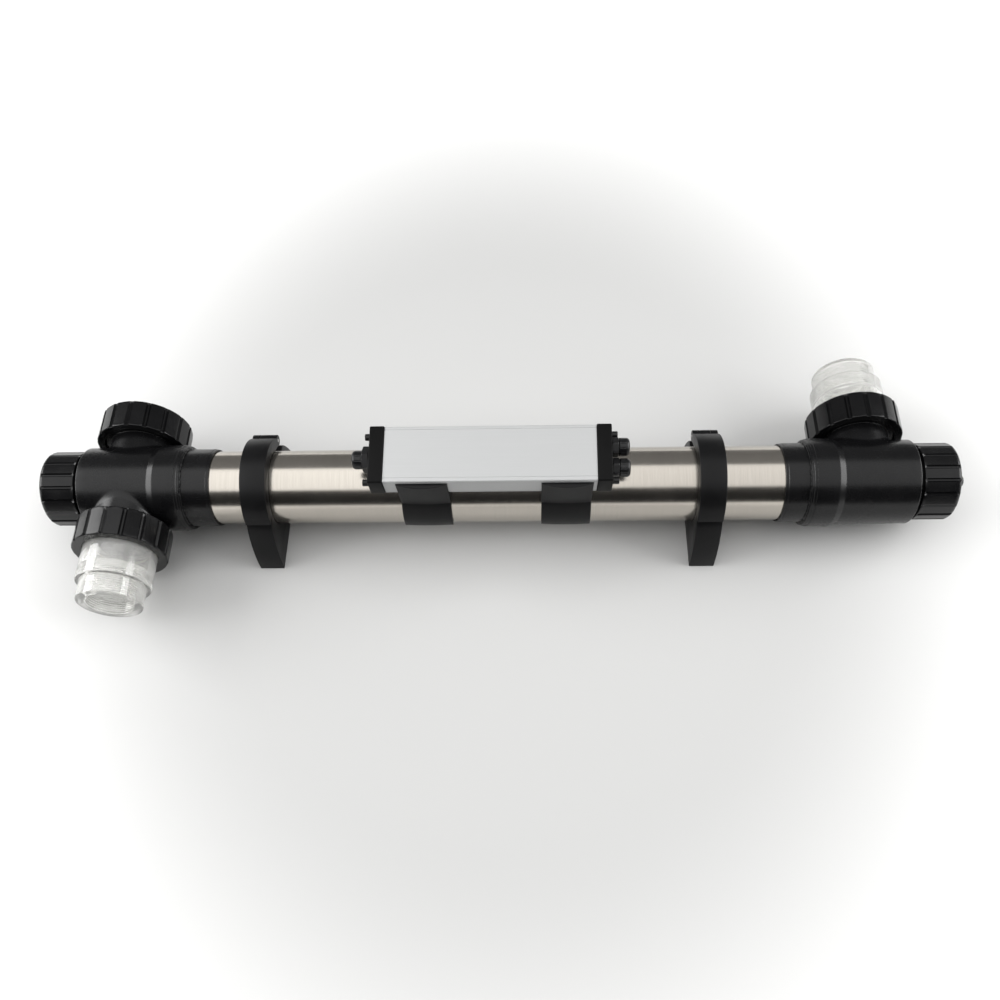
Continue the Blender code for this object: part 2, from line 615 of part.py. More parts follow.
def quartz_and_lamp():
    """The quartz sleeve, closed at the left, and the lamp with its two ceramic bases inside it."""
    pocket_floor = NECK_END - POCKET_FLOOR
    left = LEFT_BRANCH + pocket_floor
    right = RIGHT_BRANCH + pocket_floor
    shoulder = -left + QUARTZ_RADIUS
    bends = [radians(30 * index) for index in range(4)]
    outside = [(QUARTZ_RADIUS * cos(a), shoulder - QUARTZ_RADIUS * sin(a)) for a in bends[:-1]]
    inside = [(QUARTZ_BORE * cos(a), shoulder - QUARTZ_BORE * sin(a)) for a in reversed(bends[:-1])]
    section = [(QUARTZ_RADIUS, right)] + outside + [(0, -left)]
    section += [(0, shoulder - QUARTZ_BORE)] + inside + [(QUARTZ_BORE, right)]
    turned("quartz_sleeve", GLASS, section, TUBE_MIDDLE, RIGHT, MEDIUM_STEPS)
    lamp_left = left - LAMP_SETBACK
    lamp_right = right - LAMP_SETBACK
    for name, end, direction in (("lamp_base_left", lamp_left, LEFT), ("lamp_base_right", lamp_right, RIGHT)):
        base = rod_profile(LAMP_BASE_RADIUS, end - LAMP_BASE_LENGTH, end)
        turned(name, CERAMIC, base, TUBE_MIDDLE, direction, MEDIUM_STEPS)
    reach = LAMP_BASE_LENGTH + GAP
    lamp = rod_profile(LAMP_RADIUS, -(lamp_left - reach), lamp_right - reach)
    turned("uv_lamp", LAMP, lamp, TUBE_MIDDLE, RIGHT, MEDIUM_STEPS)


def clip(name, offset):
    """A pipe clip: a flared foot that cradles the tube, and a strap hinged behind it on a pin."""
    middle = TUBE_MIDDLE + Vector((offset, 0, 0))
    matrix = Matrix.Translation(middle)
    half = CLIP_WIDTH / 2
    top = CLIP_PARTING - GAP
    drop = top + AXIS_HEIGHT
    flank_steps = 8
    flank = []
    for index in range(flank_steps + 1):
        share = index / flank_steps
        flank.append((CLIP_ARM_REACH + FOOT_FLARE * sin(share * pi / 2) ** FLARE_POWER, top - drop * share))
    inner_angle = degrees(asin(top / CRADLE))
    bed = arc(CRADLE, 180 - inner_angle, 360 + inner_angle, 26)
    outline = flank + [(-y, z) for y, z in reversed(flank)] + bed
    base = extruded(f"{name}_clip_base", CLIP_PLASTIC, outline, -half, half, matrix)
    pin_y, pin_z = HINGE_PIN
    leg = [
        (pin_y - HINGE_LEG_WIDTH / 2, top - HINGE_LEG_ROOT),
        (pin_y + HINGE_LEG_WIDTH / 2 - HINGE_LEG_TAPER, top - HINGE_LEG_ROOT),
        (pin_y + HINGE_LEG_WIDTH / 2, pin_z),
        (pin_y - HINGE_LEG_WIDTH / 2, pin_z),
    ]
    lug = HINGE_LUG_WIDTH / 2
    barrel = arc(HINGE_BARREL, 0, 345, 23, HINGE_PIN)
    combine(base, extruded(f"{name}_leg", None, leg, -lug, lug, matrix), "UNION")
    combine(base, extruded(f"{name}_barrel", None, barrel, -lug, lug, matrix), "UNION")
    pin_hole = arc(HINGE_PIN_RADIUS + GAP, 0, 330, 11, HINGE_PIN)
    hole = extruded(f"{name}_pin_hole", None, pin_hole, -CLIP_WIDTH, CLIP_WIDTH, matrix)
    combine(base, hole, "DIFFERENCE")
    seat = -CRADLE - CLIP_SCREW_SEAT
    screw_way = [
        (0, 0),
        (CLIP_SCREW_HEAD, 0),
        (CLIP_SCREW_HEAD, seat),
        (CLIP_SCREW_RADIUS, seat),
        (CLIP_SCREW_RADIUS, -AXIS_HEIGHT - BEYOND),
        (0, -AXIS_HEIGHT - BEYOND),
    ]
    way = turned(f"{name}_screw_way", None, screw_way, middle, Vector((0, 0, 1)), SMALL_STEPS)
    combine(base, way, "DIFFERENCE")
    strap_piece(name, matrix, hole)
    pin_outline = arc(HINGE_PIN_RADIUS, 0, 330, 11, HINGE_PIN)
    extruded(f"{name}_clip_pin", ZINC, pin_outline, -half, half, matrix)


def strap_piece(name, matrix, pin_hole):
    """The strap over the tube, with a knuckle each side of the base's lug."""
    half = CLIP_WIDTH / 2
    inner_front = 180 - degrees(asin(CLIP_PARTING / CRADLE))
    outer_front = 180 - degrees(asin(CLIP_PARTING / STRAP_RADIUS))
    outline = arc(STRAP_RADIUS, outer_front, STRAP_CURL_ANGLE, 22)
    outline += arc(HINGE_BARREL, CURL_START, CURL_END, 12, HINGE_PIN)
    outline += arc(CRADLE, STRAP_REAR_ANGLE, inner_front, 20)
    strap = extruded(f"{name}_clip_strap", CLIP_PLASTIC, outline, -half, half, matrix)
    combine(strap, pin_hole, "DIFFERENCE")
    room = HINGE_LUG_WIDTH / 2 + 2 * GAP
    notch = arc(HINGE_BARREL + 2 * GAP, 0, 345, 23, HINGE_PIN)
    combine(strap, extruded(f"{name}_notch", None, notch, -room, room, matrix), "DIFFERENCE")
    strap_origin(strap, matrix @ Vector((0, *HINGE_PIN)))


def strap_origin(strap, pivot):
    """Moves the strap's origin to its hinge axis and leaves its shape in place."""
    shift = pivot - strap.matrix_world.translation
    strap.data.transform(Matrix.Translation(-shift))
    strap.matrix_world = Matrix.Translation(pivot)


def box_matrix(distance):
    """Frame of the tilted box at a distance along the tube from the middle of the bare steel."""
    middle = TUBE_MIDDLE + Vector((distance, 0, 0))
    return Matrix.Translation(middle) @ Matrix.Rotation(BOX_TILT, 4, "X")


def ballast_box():
    """Extrusion, end caps with their screws, circuit board and choke."""
    middle = (0, BOX_MIDDLE)
    matrix = box_matrix(BOX_CENTRE_X)
    half = BOX_LENGTH / 2
    shell = extruded(
        "ballast_extrusion",
        ALUMINIUM,
        rounded_box(BOX_WIDTH, BOX_HEIGHT, BOX_CORNER, middle),
        -half,
        half,
        matrix,
    )
    cavity = extruded("box_cavity", None, cavity_outline(middle), -half - BOX_WALL, half + BOX_WALL, matrix)
    combine(shell, cavity, "DIFFERENCE")
    groove_height = BOX_TOP - BOX_GROOVE_DROP
    for side in (-1, 1):
        outline = arc(BOX_GROOVE, 0, 315, 7, (side * BOX_WIDTH / 2, groove_height))
        name = f"box_groove_{side + 1}"
        combine(shell, extruded(name, None, outline, -half - BOX_WALL, half + BOX_WALL, matrix), "DIFFERENCE")
        screw_at = (side * SCREW_OFFSET, BOX_MIDDLE)
        bore = arc(SCREW_RADIUS + GAP, 0, 330, 11, screw_at)
        name = f"box_screw_bore_{side + 1}"
        cap_reach = half + BOX_CAP_LENGTH + BOX_WALL
        bore_cutter = extruded(name, None, bore, -cap_reach, cap_reach, matrix)
        combine(shell, bore_cutter, "DIFFERENCE")
    box_caps(middle, matrix)
    board_and_choke(matrix, half)


def cavity_outline(middle):
    """Inside of the extrusion, with a square screw boss half way up each side."""
    half_width = BOX_WIDTH / 2 - BOX_WALL
    half_height = BOX_HEIGHT / 2 - BOX_WALL
    boss = SCREW_BOSS / 2
    right_side = [
        (half_width, -half_height),
        (half_width, -boss),
        (half_width - SCREW_BOSS, -boss),
        (half_width - SCREW_BOSS, boss),
        (half_width, boss),
        (half_width, half_height),
    ]
    left_side = [(-y, z) for y, z in reversed(right_side)]
    return [(y + middle[0], z + middle[1]) for y, z in right_side + left_side]


def box_caps(middle, matrix):
    """The two black end caps, bored for their glands, and two screws in each."""
    half = BOX_LENGTH / 2
    width = BOX_WIDTH + 2 * BOX_CAP_MARGIN
    height = BOX_HEIGHT + 2 * BOX_CAP_MARGIN
    outline = rounded_box(width, height, BOX_CORNER, middle)
    hole_radius = GLAND_STUB_RADIUS + GAP
    pairs = (("left", -1, (0,)), ("right", 1, (-GLAND_PITCH / 2, GLAND_PITCH / 2)))
    for name, side, offsets in pairs:
        near = side * (half + GAP)
        far = side * (half + GAP + BOX_CAP_LENGTH)
        cap = extruded(f"box_cap_{name}", BOX_PLASTIC, outline, min(near, far), max(near, far), matrix)
        low = min(near, far) - BOX_WALL
        high = max(near, far) + BOX_WALL
        for index, offset in enumerate(offsets):
            ring = arc(hole_radius, 0, 345, 23, (offset, BOX_MIDDLE))
            cutter = extruded(f"box_cap_{name}_gland_hole_{index}", None, ring, low, high, matrix)
            combine(cap, cutter, "DIFFERENCE")
        for index, edge in enumerate((-1, 1)):
            spot = (edge * SCREW_OFFSET, BOX_MIDDLE)
            combine(cap, bpy.data.objects[f"box_screw_bore_{edge + 1}"], "DIFFERENCE")
            cap_screw(f"box_screw_{name}_{'front' if edge < 0 else 'rear'}", spot, side, matrix, far)


def cap_screw(name, spot, side, matrix, face):
    """A cheese-head screw from the cap's face into the extrusion."""
    origin = matrix @ Vector((face, *spot))
    direction = RIGHT * side
    profile = [
        (0, SCREW_HEAD_LENGTH),
        (SCREW_HEAD_RADIUS, SCREW_HEAD_LENGTH),
        (SCREW_HEAD_RADIUS, GAP),
        (SCREW_RADIUS, GAP),
        (SCREW_RADIUS, -BOX_CAP_LENGTH - SCREW_REACH),
        (0, -BOX_CAP_LENGTH - SCREW_REACH),
    ]
    turned(name, ZINC, profile, origin, direction, SMALL_STEPS)


def board_and_choke(matrix, half):
    """The ballast's circuit board on the floor of the extrusion, with its choke and capacitor."""
    floor = BOX_TOP - BOX_HEIGHT + BOX_WALL + GAP
    span = half - BOARD_MARGIN
    width = BOX_WIDTH / 2 - BOX_WALL - GAP
    seat = floor + BOARD_THICKNESS + GAP
    ceiling = BOX_TOP - BOX_WALL - BOARD_HEADROOM
    board = [(-width, floor), (width, floor), (width, seat - GAP), (-width, seat - GAP)]
    extruded("ballast_board", BOARD, board, -span, span, matrix)
    side = CHOKE_WIDTH / 2
    block = [(-side, seat), (side, seat), (side, ceiling), (-side, ceiling)]
    choke_start = CHOKE_INSET - half
    extruded("ballast_choke", COPPER, block, choke_start, choke_start + CHOKE_LENGTH, matrix)
    radius = (ceiling - seat) / 2
    can = arc(radius, 0, 345, 23, (0, seat + radius))
    can_end = half - CAPACITOR_INSET
    extruded("ballast_capacitor", GLAND_PLASTIC, can, can_end - CAPACITOR_LENGTH, can_end, matrix)


def gland(name, size, origin, direction, stub):
    """A cable gland: hexagon body with its thread, rubber seal and domed nut. Heights run from its seat."""
    hexagon = arc(size.hex_radius, 0, 300, 5)
    body = extruded(
        f"{name}_body",
        GLAND_PLASTIC,
        hexagon,
        GAP,
        size.hex_length,
        axes_matrix(origin, direction, Vector((0, 0, 1))),
    )
    thread = rod_profile(size.thread_radius, size.hex_length / 2, size.thread_end)
    combine(body, turned(f"{name}_thread", None, thread, origin, direction, MEDIUM_STEPS), "UNION")
    if stub:
        stub_rod = rod_profile(GLAND_STUB_RADIUS, -stub, size.hex_length / 2)
        combine(body, turned(f"{name}_stub", None, stub_rod, origin, direction, MEDIUM_STEPS), "UNION")
    way = rod_profile(size.bore, -stub - BEYOND, size.thread_end + BEYOND)
    combine(body, turned(f"{name}_way", None, way, origin, direction, MEDIUM_STEPS), "DIFFERENCE")
    seal_end = size.seal_start + GLAND_SEAL_THICKNESS
    seal_bore = size.bore - GLAND_SEAL_GRIP
    seal = ring_profile(seal_bore, size.thread_radius - GAP, size.seal_start, seal_end)
    turned(f"{name}_seal", RUBBER, seal, origin, direction, MEDIUM_STEPS)
    inner = size.thread_radius + THREAD_CLEARANCE
    crown_foot = size.bore + DOME_RIM
    crown_drop = DOME_ROUND * (size.end - size.dome_start)
    crown = []
    crown_steps = 3
    for index in range(crown_steps + 1):
        angle = radians(90 * index / crown_steps)
        radius = crown_foot + (size.dome_radius - crown_foot) * sin(angle)
        crown.append((radius, size.end - crown_drop * (1 - cos(angle))))
    profile = crown + [
        (size.dome_radius, size.dome_start),
        (inner, size.dome_start),
        (inner, size.lip_start),
        (size.bore, size.lip_start),
        (size.bore, size.end),
    ]
    turned(f"{name}_dome_nut", GLAND_PLASTIC, profile, origin, direction, MEDIUM_STEPS)


def saddle_section(bulge_share):
    """One closed section of a saddle. The outer side moves out by its bulge times bulge_share."""
    channel = BOX_WIDTH / 2 + GAP
    floor = BOX_TOP - BOX_HEIGHT - GAP
    wall = channel + SADDLE_WALL
    crease = max(CRADLE + SADDLE_CREASE_WALL, wall / sin(radians(SADDLE_MOST_CREASE)))
    crease_angle = degrees(asin(wall / crease))
    wrap_steps = 8
    grip = []
    for index in range(wrap_steps + 1):
        share = index / wrap_steps
        angle = radians(90 - (SADDLE_WRAP + (crease_angle - SADDLE_WRAP) * share))
        tip = CRADLE + SADDLE_TIP_WALL
        outer = tip + (crease - tip) * share
        bulge = bulge_share * (SADDLE_BULGE_TIP + (SADDLE_BULGE_TOP / 2 - SADDLE_BULGE_TIP) * share)
        grip.append(((outer + bulge) * cos(angle), (outer + bulge) * sin(angle)))
    out = wall + bulge_share * SADDLE_BULGE_TOP
    rear_top = BOX_TOP - SADDLE_REAR_DROP
    front_top = BOX_TOP - SADDLE_FRONT_DROP
    rear = grip + [(out, rear_top), (channel, rear_top), (channel, floor)]
    front = grip + [(out, front_top), (channel, front_top), (channel, floor)]
    bed = arc(CRADLE, 90 + SADDLE_WRAP, 90 - SADDLE_WRAP, 24)
    return rear + [(-y, z) for y, z in reversed(front)] + bed


def saddle(name, distance):
    """A saddle lofted through sections whose outer sides bulge in the middle of its width."""
    stations = 7
    shape = bmesh.new()
    rings = []
    for index in range(stations):
        along = -1 + 2 * index / (stations - 1)
        section = saddle_section(1 - along * along)
        rings.append([shape.verts.new((along * SADDLE_WIDTH / 2, y, z)) for y, z in section])
    count = len(rings[0])
    for near, far in zip(rings, rings[1:]):
        for i in range(count):
            shape.faces.new((near[i], near[(i + 1) % count], far[(i + 1) % count], far[i]))
    shape.faces.new(rings[0])
    shape.faces.new(rings[-1])
    bmesh.ops.recalc_face_normals(shape, faces=shape.faces)
    mesh = bpy.data.meshes.new(name)
    shape.to_mesh(mesh)
    shape.free()
    obj = bpy.data.objects.new(name, mesh)
    obj.matrix_world = box_matrix(distance)
    return place(obj, CLIP_PLASTIC)


reactor_tube()
reducer_sleeve("left_sleeve", LEFT_BRANCH, LEFT)
reducer_sleeve("right_sleeve", RIGHT_BRANCH, RIGHT)
tee("left_cross", LEFT_BRANCH, LEFT, (FRONT, REAR))
tee("right_tee", RIGHT_BRANCH, RIGHT, (REAR,))
union("inlet", LEFT_BRANCH, LEFT, FRONT, False)
union("blank", LEFT_BRANCH, LEFT, REAR, True)
union("outlet", RIGHT_BRANCH, RIGHT, REAR, False)
end_closure("left", LEFT_BRANCH, LEFT, False)
end_closure("right", RIGHT_BRANCH, RIGHT, True)
quartz_and_lamp()
clip("left", LEFT_CLIP_X)
clip("right", RIGHT_CLIP_X)
ballast_box()
saddle("saddle_left", LEFT_SADDLE_X)
saddle("saddle_right", RIGHT_SADDLE_X)

cap_face = BOX_LENGTH / 2 + GAP + BOX_CAP_LENGTH
box_frame = box_matrix(BOX_CENTRE_X)
mains_spot = box_frame @ Vector((-cap_face, 0, BOX_MIDDLE))
gland("mains_gland", MAINS_GLAND, mains_spot, LEFT, BOX_CAP_LENGTH)
front_spot = box_frame @ Vector((cap_face, -GLAND_PITCH / 2, BOX_MIDDLE))
rear_spot = box_frame @ Vector((cap_face, GLAND_PITCH / 2, BOX_MIDDLE))
gland("front_wire_gland", LAMP_WIRE_GLAND, front_spot, RIGHT, BOX_CAP_LENGTH)
gland("rear_wire_gland", LAMP_WIRE_GLAND, rear_spot, RIGHT, BOX_CAP_LENGTH)
lamp_spot = point_on_axis(RIGHT_BRANCH + CAP_END, RIGHT)
gland("lamp_gland", LAMP_CAP_GLAND, lamp_spot, RIGHT, 0)
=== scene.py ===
"""Looks of an in-line UV-C water clarifier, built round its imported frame.

X runs along the reactor tube towards the lamp end, Y towards the rear ports and Z up. Each finished piece
stands for one CAD node and rides on its body. Sizes are in millimetres times MM.
"""

import json
import logging
from dataclasses import dataclass, field
from enum import Enum
from math import asin, atan2, cos, degrees, hypot, inf, pi, radians, sin, sqrt, tan, tau
from typing import Any, Callable, Iterable, Mapping, Sequence

import bmesh
import bpy
from mathutils import Matrix, Vector


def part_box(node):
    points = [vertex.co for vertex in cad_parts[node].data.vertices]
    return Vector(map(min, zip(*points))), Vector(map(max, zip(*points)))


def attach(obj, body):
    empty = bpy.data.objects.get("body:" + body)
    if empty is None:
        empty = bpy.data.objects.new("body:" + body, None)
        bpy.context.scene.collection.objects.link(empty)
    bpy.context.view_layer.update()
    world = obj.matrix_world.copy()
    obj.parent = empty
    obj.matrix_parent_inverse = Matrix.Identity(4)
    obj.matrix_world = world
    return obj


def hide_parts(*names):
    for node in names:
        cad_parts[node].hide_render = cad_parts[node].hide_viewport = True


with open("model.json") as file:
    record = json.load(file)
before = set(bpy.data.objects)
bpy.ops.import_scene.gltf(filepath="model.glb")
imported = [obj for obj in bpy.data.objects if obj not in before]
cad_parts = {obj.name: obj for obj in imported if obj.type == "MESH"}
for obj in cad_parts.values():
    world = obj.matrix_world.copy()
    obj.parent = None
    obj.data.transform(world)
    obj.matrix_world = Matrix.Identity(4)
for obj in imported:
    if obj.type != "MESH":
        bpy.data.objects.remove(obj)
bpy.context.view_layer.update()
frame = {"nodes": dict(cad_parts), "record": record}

LOG = logging.getLogger("uv_clarifier")
MM = 0.001
FINE, MEDIUM, SMALL = 144, 72, 40       # sides of large, middling and small round pieces
SHARPEST = radians(32)                  # steeper edges are shaded sharp
REAL, WHOLE = "NodeSocketFloat", "NodeSocketInt"

Point = tuple[float, float]
Corner = tuple[float, float, float]     # two coordinates and the corner's round
Radius = float | Callable[[float], float]
Colour = tuple[float, float, float]


class Way(Enum):
    """The directions in which the clarifier's fittings point."""

    LEFT = (-1.0, 0.0, 0.0)
    RIGHT = (1.0, 0.0, 0.0)
    FRONT = (0.0, -1.0, 0.0)
    REAR = (0.0, 1.0, 0.0)
    UP = (0.0, 0.0, 1.0)

    @property
    def vector(self) -> Vector:
        """The direction as a vector."""
        return Vector(self.value)


# ---------------------------------------------------------------- node trees


class Field:
    """One output of a node, on which Python's operators add Math nodes."""

    def __init__(self, graph: "Graph", socket: bpy.types.NodeSocket) -> None:
        """Keeps the graph and the output.

        Args:
            graph: The tree that the output belongs to.
            socket: The output.
        """
        self.graph = graph
        self.socket = socket

    def output(self, name: str) -> "Field":
        """Another output of the same node."""
        return Field(self.graph, self.socket.node.outputs[name])

    def __add__(self, other: "Field | float") -> "Field":
        """self + other."""
        return self.graph.math("ADD", self, other)

    def __sub__(self, other: "Field | float") -> "Field":
        """self - other."""
        return self.graph.math("SUBTRACT", self, other)

    def __rsub__(self, other: float) -> "Field":
        """other - self."""
        return self.graph.math("SUBTRACT", other, self)

    def __mul__(self, other: "Field | float") -> "Field":
        """self * other."""
        return self.graph.math("MULTIPLY", self, other)

    def __truediv__(self, other: "Field | float") -> "Field":
        """self / other."""
        return self.graph.math("DIVIDE", self, other)

    def apply(self, operation: str) -> "Field":
        """A Math operation of one value, such as COSINE or FRACT."""
        return self.graph.math(operation, self)

    def smooth(self, low: float, high: float) -> "Field":
        """A smooth step from 0 at low to 1 at high."""
        values = {"Value": self, "From Min": low, "From Max": high}
        return self.graph.node("ShaderNodeMapRange", {"interpolation_type": "SMOOTHSTEP"}, values)


class Graph:
    """A node tree that is being written."""

    def __init__(self, tree: bpy.types.NodeTree) -> None:
        """Takes the tree and empties it.

        Args:
            tree: A material's, world's or geometry tree.
        """
        self.tree = tree
        tree.nodes.clear()

    def node(
        self,
        kind: str,
        settings: Mapping[str, Any] | None = None,
        values: Mapping[str | int, Any] | None = None,
        output: str | int = 0,
    ) -> Field:
        """Adds any node.

        Args:
            kind: The node's type.
            settings: Its properties.
            values: Values or links of its sockets, by name or number.
            output: The output that is wanted.

        Returns:
            That output, or the first input of a node without outputs.
        """
        node = self.tree.nodes.new(kind)
        for name, value in (settings or {}).items():
            setattr(node, name, value)
        for name, value in (values or {}).items():
            if isinstance(value, Field):
                self.tree.links.new(value.socket, node.inputs[name])
            else:
                node.inputs[name].default_value = value
        return Field(self, node.outputs[output] if node.outputs else node.inputs[0])

    def math(self, operation: str, first: "Field | float", second: "Field | float" = 0.0) -> Field:
        """A Math node."""
        return self.node("ShaderNodeMath", {"operation": operation}, {0: first, 1: second})

    def mix(self, share: "Field | float", low: Any, high: Any) -> Field:
        """A colour between low and high."""
        low, high = ((*c, 1.0) if isinstance(c, tuple) else c for c in (low, high))
        return self.node("ShaderNodeMix", {"data_type": "RGBA"}, {0: share, 6: low, 7: high}, 2)

    def stretched(self, scale: Sequence[float]) -> Field:
        """Object coordinates with their own scale along each axis."""
        place = self.node("ShaderNodeTexCoord", output="Object")
        return self.node("ShaderNodeMapping", {"vector_type": "POINT"}, {"Vector": place, "Scale": scale})

    def noise(self, size: float | Sequence[float], detail: float = 2.0, seed: float = 0.0) -> Field:
        """Noise whose features are about size long, along every axis or along each."""
        sizes = (size, size, size) if isinstance(size, float) else tuple(size)
        vector = self.stretched([1 / s for s in sizes])
        values = {"Vector": vector, "W": seed, "Scale": 1.0, "Detail": detail, "Roughness": 0.55}
        return self.node("ShaderNodeTexNoise", {"noise_dimensions": "4D"}, values)


# ------------------------------------------------------------------ finishes


@dataclass(frozen=True)
class Finish:
    """A surface finish. Each kind says what feeds the shader and how its relief runs."""

    colour: Colour
    roughness: float
    relief: float = 0.02 * MM

    def dress(self, graph: Graph) -> tuple[dict[str, Any], Field]:
        """Shader inputs and relief height.

        Args:
            graph: The material's tree.

        Returns:
            Values or links by input name, and the height from 0 to 1.
        """
        raise NotImplementedError

    def material(self, name: str) -> bpy.types.Material:
        """The finish as a material.

        Args:
            name: The material's name.

        Returns:
            A new material.
        """
        made = bpy.data.materials.new(name)
        made.use_nodes = True
        graph = Graph(made.node_tree)
        values, height = self.dress(graph)
        bump = {"Strength": 1.0, "Distance": self.relief, "Height": height}
        values["Normal"] = graph.node("ShaderNodeBump", None, bump)
        shader = graph.node("ShaderNodeBsdfPrincipled", None, values)
        graph.node("ShaderNodeOutputMaterial", None, {"Surface": shader})
        return made


@dataclass(frozen=True)
class Moulded(Finish):
    """Moulded plastic or rubber: fine spark-eroded grain, a cloudy gloss and a little dust."""

    grain: float = 0.45 * MM
    dust: float = 0.10
    gloss: float = 0.5

    def dress(self, graph: Graph) -> tuple[dict[str, Any], Field]:
        """See Finish.dress."""
        fine = graph.noise(self.grain, 3.0)
        cloud = graph.noise(18 * MM, 4.0, 3.0)
        speck = graph.noise(1.1 * MM, 1.0, 7.0).smooth(0.70, 0.76)
        rub = graph.noise((26 * MM, 1.6 * MM, 1.6 * MM), 3.0, 11.0).smooth(0.58, 0.80)
        lighter = tuple(min(1.0, c * 1.35 + 0.001) for c in self.colour)
        dusty = tuple(c * 0.8 + 0.04 for c in self.colour)
        base = graph.mix(cloud, self.colour, lighter)
        base = graph.mix((speck + rub * 0.35) * self.dust, base, dusty)
        rough = (cloud - 0.5) * 0.16 + (fine - 0.5) * 0.06 + rub * 0.05 + self.roughness
        values = {"Base Color": base, "Roughness": rough, "Specular IOR Level": self.gloss}
        return values, fine


@dataclass(frozen=True)
class Brushed(Finish):
    """Ground or drawn metal: strokes much longer one way than across, over faint smudges."""

    stroke: tuple[float, float, float] = (0.35 * MM, 24 * MM, 24 * MM)
    metallic: float = 1.0
    depth: float = 0.10

    def dress(self, graph: Graph) -> tuple[dict[str, Any], Field]:
        """See Finish.dress."""
        stroke = graph.noise(self.stroke, 4.0)
        coarse = graph.noise(tuple(4.5 * s if s < MM else 2 * s for s in self.stroke), 2.0, 5.0)
        smudge = graph.noise((46 * MM, 30 * MM, 30 * MM), 3.0, 9.0)
        darker = tuple(c * (1 - 1.6 * self.depth) for c in self.colour)
        lighter = tuple(min(1.0, c * (1 + self.depth)) for c in self.colour)
        mixed = (stroke * 0.5 + coarse * 0.3 + smudge * 0.2).smooth(0.30, 0.70)
        rough = (stroke - 0.5) * 0.14 + (smudge - 0.5) * 0.10 + self.roughness
        values = {
            "Base Color": graph.mix(mixed, darker, lighter),
            "Roughness": rough,
            "Metallic": self.metallic,
        }
        return values, stroke * 0.7 + coarse * 0.3


@dataclass(frozen=True)
class Clear(Finish):
    """Clear moulding or drawn glass, with some haze and faint flow lines."""

    transmission: float = 0.85
    ior: float = 1.47
    haze: float = 0.10

    def dress(self, graph: Graph) -> tuple[dict[str, Any], Field]:
        """See Finish.dress."""
        flow = graph.noise((7 * MM, 3 * MM, 7 * MM), 3.0)
        cloud = graph.noise(14 * MM, 2.0, 4.0)
        hazy = tuple(c * (1 - self.haze) for c in self.colour)
        values = {
            "Base Color": graph.mix(cloud.smooth(0.3, 0.7), self.colour, hazy),
            "Roughness": (flow - 0.5) * self.haze + self.roughness,
            "Transmission Weight": self.transmission,
            "IOR": self.ior,
        }
        return values, flow


FINISHES: dict[str, Finish] = {
    "steel": Brushed((0.52, 0.485, 0.435), 0.20, 0.003 * MM, depth=0.05),
    "black_pvc": Moulded((0.0025, 0.0025, 0.0028), 0.27, 0.002 * MM, gloss=0.30),
    "nut_plastic": Moulded((0.0025, 0.0025, 0.0028), 0.20, 0.002 * MM, gloss=0.30),
    "clip_plastic": Moulded((0.003, 0.003, 0.0033), 0.37, 0.005 * MM, gloss=0.17),
    "clear_plastic": Clear((0.93, 0.93, 0.905), 0.08, 0.001 * MM, transmission=0.80, haze=0.02),
    "ring_plastic": Moulded((0.80, 0.76, 0.58), 0.45, 0.01 * MM, dust=0.02),
    "seal_rubber": Moulded((0.02, 0.02, 0.02), 0.75, 0.02 * MM),
    "quartz": Clear((0.95, 0.98, 1.0), 0.04, 0.002 * MM, 0.95, 1.46, 0.02),
    "lamp_glass": Clear((0.88, 0.92, 0.96), 0.08, 0.002 * MM, 0.75, 1.5, 0.05),
    "lamp_ceramic": Moulded((0.84, 0.82, 0.77), 0.55, 0.02 * MM, dust=0.03),
    "aluminium": Brushed((0.44, 0.445, 0.445), 0.52, 0.003 * MM, (40 * MM, 0.3 * MM, 0.3 * MM), 0.30, 0.02),
    "box_cap_plastic": Moulded((0.0025, 0.0025, 0.0025), 0.42, 0.006 * MM, gloss=0.09),
    "gland_plastic": Moulded((0.004, 0.004, 0.0045), 0.32, 0.004 * MM, gloss=0.36),
    "circuit_board": Moulded((0.02, 0.16, 0.06), 0.4, 0.01 * MM, dust=0.02),
    "winding": Brushed((0.62, 0.26, 0.10), 0.3, 0.01 * MM, (0.4 * MM, 9 * MM, 9 * MM), 0.9, 0.1),
    "zinc": Brushed((0.62, 0.62, 0.60), 0.3, 0.004 * MM, (3 * MM, 0.4 * MM, 0.4 * MM), 1.0, 0.08),
    "black_steel": Moulded((0.005, 0.005, 0.005), 0.38, 0.004 * MM, gloss=0.36),
}


# --------------------------------------------------------------- mesh making


def rounded(corners: Sequence[Corner], closed: bool = True, steps: int = 4) -> list[Point]:
    """Replaces each corner by an arc.

    Args:
        corners: Two coordinates and a round each.
        closed: Whether the last corner joins the first.
        steps: Pieces of each arc.

    Returns:
        The outline's points.
    """
    points: list[Point] = []
    count = len(corners)
    for index, (x, y, radius) in enumerate(corners):
        at_end = not closed and index in (0, count - 1)
        if radius <= 0 or at_end:
            points.append((x, y))
            continue
        here = Vector((x, y))
        back = Vector(corners[index - 1][:2]) - here
        ahead = Vector(corners[(index + 1) % count][:2]) - here
        half = back.angle(ahead) / 2
        reach = min(radius / tan(half), 0.48 * back.length, 0.48 * ahead.length)
        centre = here + (back.normalized() + ahead.normalized()).normalized() * reach / cos(half)
        start = here + back.normalized() * reach - centre
        end = here + ahead.normalized() * reach - centre
        first = atan2(start.y, start.x)
        sweep = (atan2(end.y, end.x) - first + pi) % tau - pi
        for step in range(steps + 1):
            angle = first + sweep * step / steps
            points.append((centre.x + start.length * cos(angle), centre.y + start.length * sin(angle)))
    return points


